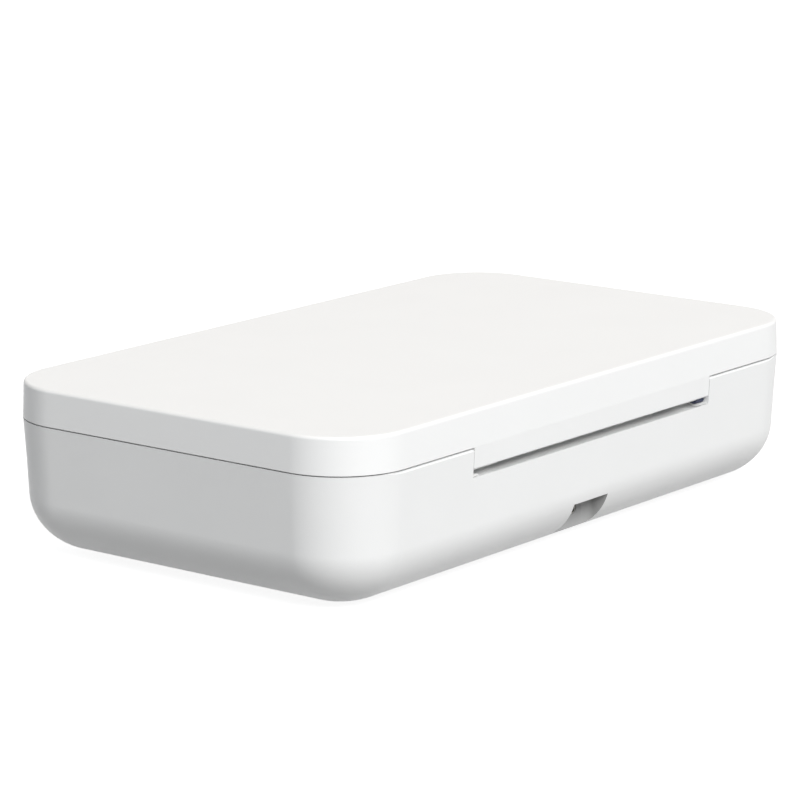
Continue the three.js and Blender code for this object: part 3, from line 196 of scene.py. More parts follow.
def new_block(low: Sequence[float], high: Sequence[float]) -> Object:
    """Add a block between two corners.

    Args:
        low: Its lowest corner.
        high: Its highest corner.

    Returns:
        The block.
    """
    middle = [(a + b) / 2 for a, b in zip(low, high)]
    size = [b - a for a, b in zip(low, high)]
    bpy.ops.mesh.primitive_cube_add(size=1, location=middle, scale=size)
    return settle(bpy.context.object)


def new_bar(radius: float, axis: Axis, start: Point, length: float, sides: int = 48) -> Object:
    """Add a round bar that runs from a point along an axis.

    Args:
        radius: The bar's radius.
        axis: The axis that it runs along.
        start: The middle of its lower end.
        length: How far it runs.
        sides: How many sides it has.

    Returns:
        The bar.
    """
    middle = list(start)
    middle["XYZ".index(axis.name)] += length / 2
    bpy.ops.mesh.primitive_cylinder_add(
        radius=radius, depth=length, vertices=sides, location=middle, rotation=axis.value
    )
    return settle(bpy.context.object)


def upright_bars(
    places: Sequence[Place], radius: float, low: float, high: float, sides: int = 48
) -> list[Object]:
    """Add the same upright round bar at several places.

    Args:
        places: The places along X and Y.
        radius: The bars' radius.
        low: The height of their lower ends.
        high: The height of their upper ends.
        sides: How many sides they have.

    Returns:
        The bars.
    """
    return [new_bar(radius, Axis.Z, (*place, low), high - low, sides) for place in places]


def round_edges(
    obj: Object, radius: float, segments: int, wanted: Callable[[Vector, Vector], bool]
) -> Object:
    """Round the edges whose two ends pass a test.

    Args:
        obj: The body.
        radius: The radius of the round.
        segments: How many segments it has.
        wanted: The test.

    Returns:
        The same body.
    """
    with editing(obj, Part.EDGE, wanted):
        bpy.ops.mesh.bevel(offset=radius, segments=segments, affect="EDGES", profile=0.5)
    return obj


def pill(low: Sequence[float], high: Sequence[float], corner: float) -> Object:
    """Add a block whose long edges along Y are rounded.

    Args:
        low: Its lowest corner.
        high: Its highest corner.
        corner: The radius of its long edges.

    Returns:
        The block.
    """
    block = new_block(low, high)
    round_edges(block, corner, 16, lambda a, b: abs(a.y - b.y) > CLOSE)
    with editing(block, Part.CORNER):
        bpy.ops.mesh.remove_doubles(threshold=CLOSE)
    return block


def walk_cap(obj: Object, facing: Facing, steps: Sequence[Step]) -> None:
    """Draw a body's flat cap in and along, one ring of faces for each step.

    Args:
        obj: The body.
        facing: Which of its flat caps is walked.
        steps: Insets of the outline with their heights. The first is where the cap is now.
    """
    way, start = facing.value, steps[0][1]
    with editing(obj, Part.FACE, lambda c, n: n.z * way > SQUARE and abs(c.z - start) < CLOSE):
        for (inset, height), (next_inset, next_height) in zip(steps, steps[1:]):
            thickness = max(next_inset - inset, 0.0)
            bpy.ops.mesh.inset(thickness=thickness, depth=(next_height - height) * way)


def apply_modifier(obj: Object, kind: str, **settings: object) -> Object:
    """Put a modifier on an object and apply it.

    Args:
        obj: The object.
        kind: The kind of modifier.
        settings: The modifier's settings.

    Returns:
        The same object.
    """
    modifier = obj.modifiers.new(kind.lower(), kind)
    for name, value in settings.items():
        setattr(modifier, name, value)
    pick_object(obj)
    bpy.ops.object.modifier_apply(modifier=modifier.name)
    return obj


def combine(obj: Object, joining: Joining, *tools: Object) -> Object:
    """Change a body by tool bodies in turn, which are used up.

    Args:
        obj: The body to change.
        joining: How it is changed.
        tools: The bodies that change it.

    Returns:
        The changed body.
    """
    for tool in tools:
        apply_modifier(obj, "BOOLEAN", operation=joining.value, object=tool, solver="MANIFOLD")
        bpy.data.objects.remove(tool)
    return obj


def soften(obj: Object, width: float, segments: int = 2, sharpest: float = 40.0) -> Object:
    """Round every sharp edge of a body a little.

    Args:
        obj: The body.
        width: How wide the rounding is.
        segments: How many segments it has.
        sharpest: The angle in degrees past which an edge counts as sharp.

    Returns:
        The same body.
    """
    limits = {"limit_method": "ANGLE", "angle_limit": math.radians(sharpest)}
    return apply_modifier(
        obj, "BEVEL", width=width, segments=segments, use_clamp_overlap=True, **limits
    )


def gather(parts: Sequence[Object]) -> Object:
    """Put several objects together in one object, as separate shells, and return it.

    Args:
        parts: The objects, the first of which takes in the others.

    Returns:
        The one object.
    """
    pick_object(parts[0])
    for part in parts[1:]:
        part.select_set(True)
    bpy.ops.object.join()
    return bpy.context.object


def copy_of(obj: Object) -> Object:
    """Copy an object with a mesh of its own.

    Args:
        obj: The object to copy.

    Returns:
        The copy.
    """
    twin = obj.copy()
    twin.data = obj.data.copy()
    bpy.context.scene.collection.objects.link(twin)
    return twin


def copies_at(pattern: Object, places: Sequence[Point]) -> list[Object]:
    """Copy a pattern to several places, and use it up.

    Args:
        pattern: The object to copy.
        places: Where the copies stand.

    Returns:
        The copies.
    """
    twins = []
    for place in places:
        twin = copy_of(pattern)
        twin.location = place
        twins.append(settle(twin))
    bpy.data.objects.remove(pattern)
    return twins


def merged_copy(node: str) -> Object:
    """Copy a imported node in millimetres, with its loose triangles merged to clean faces.

    Args:
        node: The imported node's name.

    Returns:
        The copy.
    """
    twin = copy_of(bpy.data.objects[node])
    twin.parent = None
    for key in list(twin.keys()):
        del twin[key]
    twin.data.materials.clear()
    twin.scale = [1 / METRES_PER_MM] * 3
    settle(twin)
    with editing(twin, Part.CORNER):
        bpy.ops.mesh.remove_doubles(threshold=0.001)
        bpy.ops.mesh.dissolve_limited(angle_limit=math.radians(1.0))
    return twin


class Box(NamedTuple):
    """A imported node's box in millimetres."""

    low: Vector
    high: Vector
    middle: Vector
    half: Vector


def box_mm(node: str) -> Box:
    """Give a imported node's box in millimetres."""
    low, high = (corner / METRES_PER_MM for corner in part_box(node))
    return Box(low, high, (low + high) / 2, (high - low) / 2)


def each(start: str, ends: Sequence[str] = QUARTERS) -> list[str]:
    """List the nodes whose names have the same start."""
    return [start + end for end in ends]


def middles(nodes: Sequence[str]) -> list[Place]:
    """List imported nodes' middles along X and Y in millimetres."""
    return [tuple(box_mm(node).middle.xy) for node in nodes]


def spread(count: int, reach: float) -> list[float]:
    """List places spread evenly from minus a reach to the reach."""
    return [reach * (2 * i / (count - 1) - 1) for i in range(count)]


def drafted_steps(
    skin: float, draft: float, zero: float, span: Step, rounding: Step, count: int
) -> list[Step]:
    """List insets and heights along a drafted wall that ends in a quarter round.

    Args:
        skin: The inset where the draft starts.
        draft: The draft in degrees.
        zero: The height where the draft starts.
        span: The first and the last height.
        rounding: How far in and how far along the round goes.
        count: How many steps the round has.

    Returns:
        The steps in their order.
    """
    start, end = span
    way = math.copysign(1.0, end - start)
    slope = way * math.tan(math.radians(draft))
    knee = end - way * rounding[1]
    steps = [(skin + slope * (height - zero), height) for height in (start, knee)]
    for i in range(1, count + 1):
        turn = math.pi / 2 * i / count
        height = knee + way * rounding[1] * math.sin(turn)
        inset = skin + slope * (height - zero) + rounding[0] * (1 - math.cos(turn))
        steps.append((inset, height))
    return steps


def look_at(place: Point, target: Point) -> tuple[float, float, float]:
    """Give the turn of a camera or lamp that looks from a place at a target."""
    return (Vector(target) - Vector(place)).to_track_quat("-Z", "Y").to_euler()


# Finishes: shared effects, then one class for each kind of finish


def linear_colour(code: str) -> tuple[float, float, float, float]:
    """Turn a written screen colour such as f2f2f0 into the shader's linear colour.

    Args:
        code: The colour in six hexadecimal digits.

    Returns:
        The colour with its opacity.
    """
    shares = [int(code[i : i + 2], 16) / 255 for i in (0, 2, 4)]
    linear = [s / 12.92 if s <= 0.04045 else ((s + 0.055) / 1.055) ** 2.4 for s in shares]
    return (*linear, 1.0)


class Wiring:
    """A node tree under construction."""

    def __init__(self, tree: NodeTree) -> None:
        """Take the tree to build in."""
        self.tree = tree

    def feed(self, node: Node, inputs: Feed) -> None:
        """Link sockets to a node's inputs, or set them to values, by their names or places."""
        for name, value in inputs.items():
            if isinstance(value, NodeSocket):
                self.tree.links.new(value, node.inputs[name])
            else:
                node.inputs[name].default_value = value

    def add(self, kind: str, inputs: Feed | None = None, **settings: object) -> Node:
        """Add a node.

        Args:
            kind: Its kind.
            inputs: Its inputs by name or place, as sockets or values.
            settings: Its own settings, such as its operation.

        Returns:
            The node.
        """
        node = self.tree.nodes.new(kind)
        for name, value in settings.items():
            setattr(node, name, value)
        self.feed(node, inputs or {})
        return node

    def place(self) -> NodeSocket:
        """Give the piece's own coordinates."""
        return self.add("ShaderNodeTexCoord").outputs["Object"]

    def math(self, operation: str, first: object, second: object) -> NodeSocket:
        """Work out one number from two."""
        inputs = {0: first, 1: second}
        return self.add("ShaderNodeMath", inputs, operation=operation).outputs["Value"]

    def seen_rays(self) -> NodeSocket:
        """Give a mask of the rays that show a thing: to the camera, in gloss and through glass."""
        path = self.add("ShaderNodeLightPath").outputs
        shown = self.math("MAXIMUM", path["Is Camera Ray"], path["Is Glossy Ray"])
        return self.math("MAXIMUM", shown, path["Is Transmission Ray"])


@dataclass(frozen=True)
class Pattern:
    """A noise that changes over the surface, kept as one shader node group."""

    name: str
    scale: str
    default: float
    output: str
    detail: float = 2.0
    distortion: float = 0.0
    stretch: float = 1.0
    tone_scale: float = 0.0

    def group(self) -> NodeTree:
        """Give the group, which is made the first time that it is asked for."""
        return bpy.data.node_groups.get(self.name) or self.new_group()

    def new_group(self) -> NodeTree:
        """Make the group, with its scale as the input."""
        tree = bpy.data.node_groups.new(self.name, "ShaderNodeTree")
        new_socket = tree.interface.new_socket
        scale = new_socket(self.scale, in_out="INPUT", socket_type="NodeSocketFloat")
        scale.default_value = self.default
        wiring = Wiring(tree)
        place = wiring.place()
        if self.stretch != 1.0:
            stretched = {"Vector": place, "Scale": (self.stretch, 1.0, 1.0)}
            place = wiring.add("ShaderNodeMapping", stretched).outputs["Vector"]
        given = wiring.add("NodeGroupInput").outputs[self.scale]
        noise = {"Scale": given, "Detail": self.detail, "Distortion": self.distortion}
        noises = {self.output: noise}
        if self.tone_scale:
            noises["Tone"] = {"Scale": self.tone_scale}
        results = {}
        for name, inputs in noises.items():
            new_socket(name, in_out="OUTPUT", socket_type="NodeSocketFloat")
            texture = wiring.add("ShaderNodeTexNoise", {"Vector": place, **inputs})
            results[name] = texture.outputs["Fac"]
        wiring.add("NodeGroupOutput", results)
        return tree


class Effect(Enum):
    """The patterns that several finishes share: mould grain, hand marks, and lines along X."""

    GRAIN = Pattern("moulded grain", "Cells per Metre", 4000.0, "Height", tone_scale=35.0)
    HANDLING = Pattern("handling marks", "Patches per Metre", 18.0, "Mask", 4.0, 0.6)
    DRAWN_LINES = Pattern("drawn lines", "Lines per Metre", 2500.0, "Height", 3.0, stretch=0.02)


class Dress(Wiring):
    """A material under construction: its tree, its shader and the effects placed in it."""

    def __init__(self, name: str) -> None:
        """Start a node material with one Principled BSDF."""
        self.material = bpy.data.materials.new(name)
        self.material.use_nodes = True
        super().__init__(self.material.node_tree)
        self.shader = self.tree.nodes["Principled BSDF"]

    def effect(self, effect: Effect, scale: float) -> Node:
        """Place a shared effect with its own scale."""
        pattern = effect.value
        return self.add("ShaderNodeGroup", {pattern.scale: scale}, node_tree=pattern.group())

    def tint(self, mask: NodeSocket, under: object, over: str) -> None:
        """Let the base colour change by a mask, from a colour or socket to a written colour."""
        inputs = {"Factor": mask, "A": under, "B": linear_colour(over)}
        mix = self.add("ShaderNodeMix", inputs, data_type="RGBA")
        self.feed(self.shader, {"Base Color": mix.outputs["Result"]})

    def vary_roughness(self, mask: NodeSocket, low: float, high: float) -> None:
        """Let the roughness follow a mask between two values."""
        stretch = self.add("ShaderNodeMapRange", {"Value": mask, "To Min": low, "To Max": high})
        self.feed(self.shader, {"Roughness": stretch.outputs["Result"]})

    def emboss(self, height: NodeSocket, depth: float) -> None:
        """Raise a height on the surface by a depth in millimetres."""
        bump = self.add("ShaderNodeBump", {"Distance": depth * METRES_PER_MM, "Height": height})
        self.feed(self.shader, {"Normal": bump.outputs["Normal"]})


@dataclass(frozen=True)
class Surface:
    """What the finishes share: two tones, a gloss that hands make uneven and a fine relief."""

    name: str
    colour: str
    second: str
    roughness: float
    relief_scale: float = 4200.0
    relief_depth: float = 0.02
    relief: Effect = Effect.GRAIN
    patches_per_metre: float = 22.0
    smoother: float = 0.05
    rougher: float = 0.06

    def build(self) -> Material:
        """Make the material."""
        dress = Dress(self.name)
        relief = dress.effect(self.relief, self.relief_scale)
        marks = dress.effect(Effect.HANDLING, self.patches_per_metre).outputs["Mask"]
        dress.tint(self.tone(relief, marks), linear_colour(self.colour), self.second)
        dress.vary_roughness(marks, *self.gloss())
        dress.emboss(relief.outputs["Height"], self.relief_depth)
        self.complete(dress)
        return dress.material

    def tone(self, relief: Node, marks: NodeSocket) -> NodeSocket:
        """Choose the mask that the colour follows: the hand marks."""
        return marks

    def gloss(self) -> tuple[float, float]:
        """Give the lowest and the highest roughness."""
        return self.roughness - self.smoother, self.roughness + self.rougher

    def complete(self, dress: Dress) -> None:
        """Add what this finish alone has: nothing here."""


@dataclass(frozen=True)
class MouldedPlastic(Surface):
    """Injection-moulded plastic with the grain of its mould."""

    def tone(self, relief: Node, marks: NodeSocket) -> NodeSocket:
        """Choose the mask that the colour follows: the grain's broad tone."""
        return relief.outputs["Tone"]


@dataclass(frozen=True)
class RecessShadePlastic(MouldedPlastic):
    """Moulded plastic with painted shade inside the charging recess: a darker colour where the
    recess lies in shadow.
    """

    # The recess's colour is painted shade: a darker grey that stands in for the shadow inside the
    # recess.
    painted_recess_shade: str = "b3b3b2"
    recess_half: float = 8.42
    recess_back: float = 55.1
    recess_roof: float = 13.52

    def complete(self, dress: Dress) -> None:
        """Paint shade inside the recess by darkening the plastic's colour there."""
        place = dress.add("ShaderNodeSeparateXYZ", {"Vector": dress.place()}).outputs
        mask: object = 1.0
        for axis, test, limit in (
            ("X", "LESS_THAN", self.recess_half),
            ("X", "GREATER_THAN", -self.recess_half),
            ("Y", "GREATER_THAN", self.recess_back),
            ("Z", "LESS_THAN", self.recess_roof),
        ):
            inside = dress.math(test, place[axis], limit * METRES_PER_MM)
            mask = dress.math("MULTIPLY", mask, inside)
        case_colour = dress.shader.inputs["Base Color"].links[0].from_socket
        # Painted shade: inside the recess's box the base colour is mixed towards the darker grey.
        dress.tint(mask, case_colour, self.painted_recess_shade)


@dataclass(frozen=True)
class SoftRubber(Surface):
    """Matt rubber or silicone, with a dry bloom on it."""

    roughness: float = 0.75
    relief_scale: float = 7000.0
    relief_depth: float = 0.03
    patches_per_metre: float = 90.0
    smoother: float = 0.08
    rougher: float = 0.1


@dataclass(frozen=True)
class BareMetal(Surface):
    """Plated, drawn or mirror-bright metal."""

    relief_scale: float = 2500.0
    relief_depth: float = 0.004
    relief: Effect = Effect.DRAWN_LINES
    patches_per_metre: float = 40.0

    def gloss(self) -> tuple[float, float]:
        """Give the lowest and the highest roughness, as shares of the middle one."""
        return 0.7 * self.roughness, 1.35 * self.roughness

    def complete(self, dress: Dress) -> None:
        """Make it metal."""
        dress.feed(dress.shader, {"Metallic": 1.0})


@dataclass(frozen=True)
class ClearTube(Surface):
    """Clear quartz or acrylic, with faint drawing lines."""

    relief_scale: float = 900.0
    relief_depth: float = 0.01
    relief: Effect = Effect.DRAWN_LINES
    patches_per_metre: float = 60.0
    smoother: float = 0.0
    rougher: float = 0.05
    refraction: float = 1.46

    def complete(self, dress: Dress) -> None:
        """Make it clear."""
        clear = {"Metallic": 0.0, "Transmission Weight": 1.0, "IOR": self.refraction}
        dress.feed(dress.shader, clear)


@dataclass(frozen=True)
class BoardLaminate:
    """Green lacquered circuit laminate, with traces under the lacquer."""

    name: str
    lacquer: str = "1b5b3a"
    trace: str = "2f7a4c"
    cells_per_metre: float = 320.0
    trace_width: float = 0.08
    trace_depth: float = 0.03
    patches_per_metre: float = 70.0
    gloss: tuple[float, float] = (0.28, 0.42)

    def build(self) -> Material:
        """Make the material."""
        dress = Dress(self.name)
        cells = dress.add("ShaderNodeTexVoronoi", distance="MANHATTAN", feature="DISTANCE_TO_EDGE")
        dress.feed(cells, {"Vector": dress.place(), "Scale": self.cells_per_metre})
        trace = dress.math("LESS_THAN", cells.outputs["Distance"], self.trace_width)
        marks = dress.effect(Effect.HANDLING, self.patches_per_metre).outputs["Mask"]
        dress.tint(trace, linear_colour(self.lacquer), self.trace)
        dress.vary_roughness(marks, *self.gloss)
        dress.emboss(trace, self.trace_depth)
        return dress.material


class Finish(Enum):
    """Every finish of the box, by the record's material slot."""

    BASE_CASE = ("base_case", RecessShadePlastic("base case white", "f2f2f1", "eeeeed", 0.36))
    LID_CASE = ("lid_case", MouldedPlastic("lid case white", "f4f4f3", "f1f1f0", 0.36))
    BUTTON_CAP = (
        "button_cap",
        MouldedPlastic("button cap white", "f0f0ee", "ececea", 0.3, 5200.0, 0.01),
    )
    INNER = ("inner_plastic", MouldedPlastic("inner white", "ecedeb", "e6e7e5", 0.5, 3200.0, 0.03))
    REFLECTOR = ("reflector", BareMetal("bright reflector", "e3e7ea", "d9dde1", 0.09, 600.0, 0.006))
    SEAL = ("seal_rubber", SoftRubber("seal silicone", "c3c5c8", "cbcdcf", 0.6))
    LAMP = ("lamp_glass", ClearTube("lamp quartz", "eef4f8", "ffffff", 0.02))
    LAMP_SOCKET = (
        "lamp_socket",
        MouldedPlastic("lamp socket white", "e6e3da", "dfdcd2", 0.62, 2600.0, 0.04),
    )
    WIRE = ("bright_wire", BareMetal("bright wire", "cfd3d6", "c3c7cb", 0.16))
    PIN = ("pin_steel", BareMetal("pin steel", "b6b9bd", "a7aaae", 0.28))
    SCREW = ("screw_zinc", BareMetal("screw zinc", "b0b4ba", "9fa3ab", 0.34, 3500.0, 0.006))
    FOOT = ("foot_rubber", SoftRubber("foot rubber", "8b8e92", "989b9f"))
    BUFFER = ("buffer_rubber", SoftRubber("buffer silicone", "e2e2e0", "eaeae8", 0.6))
    BUSH = ("bush_nylon", MouldedPlastic("bush nylon", "262c48", "2e3554", 0.45, 5000.0, 0.01))
    LAMINATE = ("board_laminate", BoardLaminate("board laminate"))
    SOCKET = ("socket_shell", BareMetal("socket nickel", "c8c6c0", "b9b7b1", 0.22))
    CORE = (
        "transformer_core",
        MouldedPlastic("transformer ferrite", "35353a", "2b2b30", 0.6, 1800.0, 0.06),
    )
    SLEEVE = ("capacitor_sleeve", MouldedPlastic("capacitor sleeve", "26262b", "303036", 0.34))
    CHIP = ("chip_black", MouldedPlastic("chip resin", "1b1b1d", "242427", 0.55, 5200.0, 0.03))
    CONNECTOR = ("connector_white", MouldedPlastic("connector nylon", "e9e8e2", "e2e1da", 0.5))
    INDICATOR = (
        "indicator_clear",
        ClearTube("indicator acrylic", "dcecf8", "ffffff", 0.08, refraction=1.49),
    )
    MAGNET = ("magnet_nickel", BareMetal("magnet nickel", "c7c8c6", "b9bab8", 0.14))
    LEAD = ("lead_jacket", SoftRubber("lead jacket", "232327", "2d2d32", 0.55))

    @property
    def slot(self) -> str:
        """The record's material slot."""
        return self.value[0]

    def material(self) -> Material:
        """The finish's material, made the first time that it is asked for."""
        maker = self.value[1]
        return bpy.data.materials.get(maker.name) or maker.build()


def dress_in(obj: Object, finish: Finish) -> None:
    """Give an object one finish in place of what it wears."""
    obj.data.materials.clear()
    obj.data.materials.append(finish.material())


def publish(
    obj: Object, name: str, body: str, finish: Finish, *nodes: str, smooth: float = 35.0
) -> None:
    """Bring a modelled piece to metres, dress it and hang it on its body.

    Args:
        obj: The piece, in millimetres.
        name: The piece's name.
        body: The body that it moves with.
        finish: The finish that it wears.
        nodes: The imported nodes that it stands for.
        smooth: The angle in degrees up to which its shading runs on.
    """
    obj.name = name
    obj.data.name = name
    obj.scale = [METRES_PER_MM] * 3
    settle(obj)
    bpy.ops.object.shade_smooth_by_angle(angle=math.radians(smooth))
    # The large faces lead the shading, so that an opening's edge leaves no streak on them
    apply_modifier(obj, "WEIGHTED_NORMAL", keep_sharp=True)
    dress_in(obj, finish)
    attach(obj, body)
    if nodes:
        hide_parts(*nodes)
    LOG.info("%s rides on %s with %d faces", name, body, len(obj.data.polygons))


# Sub-assemblies


@dataclass
class Outline:
    """A rectangle with rounded corners, which closed bodies are stacked on."""

    half_x: float
    half_y: float
    corner: float
    segments: int

    def plate(self, inset: float, height: float) -> Object:
        """Add a flat plate, one face, in the outline.

        Args:
            inset: How far it lies inside the outline; below zero is outside.
            height: The height that it lies at.

        Returns:
            The plate.
        """
        bpy.ops.mesh.primitive_plane_add(size=2, location=(0, 0, height))
        plate = bpy.context.object
        plate.scale = (self.half_x - inset, self.half_y - inset, 1)
        settle(plate)
        corner = {"offset": self.corner - inset, "segments": self.segments, "profile": 0.5}
        with editing(plate, Part.CORNER):
            bpy.ops.mesh.bevel(affect="VERTICES", **corner)
        return plate

    def stack(self, steps: Sequence[Step], facing: Facing) -> Object:
        """Build a closed body through steps of the outline.

        Args:
            steps: Insets and heights, the widest first.
            facing: Which way the steps go.

        Returns:
            The body.
        """
        inset, height = steps[0]
        body = self.plate(inset, height)
        skirt = (steps[1][1] - height) / 2
        with editing(body):
            extrude((0, 0, skirt))
        face_outwards(body)
        middle = (inset + steps[1][0]) / 2
        with editing(body, Part.FACE, lambda c, n: n.z * facing.value > SQUARE):
            shrink = [(half - middle) / (half - inset) for half in (self.half_x, self.half_y)]
            bpy.ops.transform.resize(value=(*shrink, 1))
        walk_cap(body, facing, [(middle, height + skirt), *steps[1:]])
        return body

    def hollow(self, outer: Sequence[Step], inner: Sequence[Step], facing: Facing) -> Object:
        """Build a body that is hollow from its widest end.

        Args:
            outer: The steps of its outside, the widest first.
            inner: The steps of its inside.
            facing: Which way both go.

        Returns:
            The body.
        """
        body = self.stack(outer, facing)
        walk_cap(body, Facing(-facing.value), [outer[0], *inner])
        return body


@dataclass
class CaseForm(Outline):
    """The outer form that both housings follow."""

    half_x: float = field(init=False)
    half_y: float = field(init=False)
    corner: float = 21.9
    segments: int = 24
    base_draft: float = 2.83
    lid_draft: float = 1.82
    round_out: float = 18.5
    round_up: float = 16.6
    edge_radius: float = 1.0
    seam_gap: float = 0.4
    round_count: int = 18
    edge_count: int = 6

    def __post_init__(self) -> None:
        """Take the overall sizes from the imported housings."""
        base = box_mm("base_shell")
        self.half_x, self.half_y, self.top_z = box_mm("lid_shell").high
        self.floor_z, self.rim_z = base.low.z, base.high.z
        self.lid_z = self.rim_z + self.seam_gap
        self.base_slope = math.tan(math.radians(self.base_draft))

    def base_inset(self, height: float) -> float:
        """Give how far the base's drafted wall lies inside the seam's outline."""
        return self.base_slope * (self.lid_z - height)

    def base_steps(self, skin: float) -> list[Step]:
        """List steps from the base's rim down its big bottom round, a skin below the surface.

        Args:
            skin: How deep below the surface they lie.

        Returns:
            The steps from the rim down.
        """
        span = (self.rim_z, self.floor_z + skin)
        rounding = (self.round_out - skin, self.round_up - skin)
        return drafted_steps(skin, self.base_draft, self.lid_z, span, rounding, self.round_count)

    def lid_steps(self, skin: float, start: float, top: float, radius: float) -> list[Step]:
        """List steps from the lid's side up over its top edge.

        Args:
            skin: How deep below the surface they lie.
            start: The height to start from.
            top: The height of the flat top.
            radius: The radius of the top edge.

        Returns:
            The steps from the bottom up.
        """
        rounding = (radius, radius)
        return drafted_steps(
            skin, self.lid_draft, self.lid_z, (start, top), rounding, self.edge_count
        )


@dataclass
class HingeLine:
    """The rear hinge: its axis, the base's trough and the slot under the lid's flap."""

    form: CaseForm
    flap_half: float = 58.6
    flap_gap: float = 0.25
    flap_hang: float = 6.33
    flap_wall: float = 1.8
    slot_height: float = 2.34
    lip_land: float = 0.6
    trough_wall: float = 1.5
    cheek: float = 4.0
    rim_sweep: float = 5.05
    knuckle_radius: float = 2.3
    knuckle_length: float = 12.6
    rib_width: float = 1.2
    rib_count: int = 5
    pin_radius: float = 1.5
    pin_reach: float = 7.2
    sides: int = 128

    def __post_init__(self) -> None:
        """Take the axis from the joint and work out what follows from it."""
        joint = next(j for j in FRAME["joints"] if j["name"] == "lid_hinge")
        self.axis_y, self.axis_z = (c / METRES_PER_MM for c in joint["pos_m"][1:])
        self.flap_z = self.form.lid_z - self.flap_hang
        self.lip_z = self.flap_z - self.slot_height
        self.notch_half = self.flap_half + self.flap_gap
        lip_out = self.form.half_y - self.form.base_inset(self.lip_z) - self.axis_y - self.lip_land
        self.trough = math.hypot(lip_out, self.axis_z - self.lip_z)

    def bar(self, radius: float, low: float, high: float, sides: int = 48) -> Object:
        """Add a round bar on the axis, from one place along it to another."""
        return new_bar(radius, Axis.X, (low, self.axis_y, self.axis_z), high - low, sides)

    def trough_block(self, grow: float, top: float) -> Object:
        """Add the block that carries the trough and its two cheeks.

        Args:
            grow: How much larger it is on every side.
            top: The height of its top.

        Returns:
            The block.
        """
        half = self.notch_half + self.cheek + grow
        reach = self.trough + self.trough_wall + grow
        low = (-half, self.axis_y - reach, self.axis_z - reach)
        return new_block(low, (half, self.form.half_y + OVER, top))

    def notch(self) -> Object:
        """Add the room that the flap turns in, open to the rear and to the top."""
        half, out = self.notch_half, self.form.half_y + OVER
        top = self.form.lid_z + OVER
        room = self.bar(self.trough, -half, half, self.sides)
        above = new_block((-half, self.axis_y - self.trough, self.axis_z), (half, out, top))
        behind = new_block((-half, self.axis_y, self.lip_z), (half, out, self.axis_z + OVER))
        return combine(room, Joining.ADD, above, behind)

    def rim_sweep_cut(self) -> Object:
        """Add the corner that is taken off the rear rim, round about the hinge axis."""
        half = self.form.half_x + OVER
        high = (half, self.form.half_y + OVER, self.form.lid_z + OVER)
        corner = new_block((-half, self.axis_y, self.axis_z), high)
        swept = self.bar(self.rim_sweep, -half - OVER, half + OVER, self.sides)
        return combine(corner, Joining.CUT, swept)


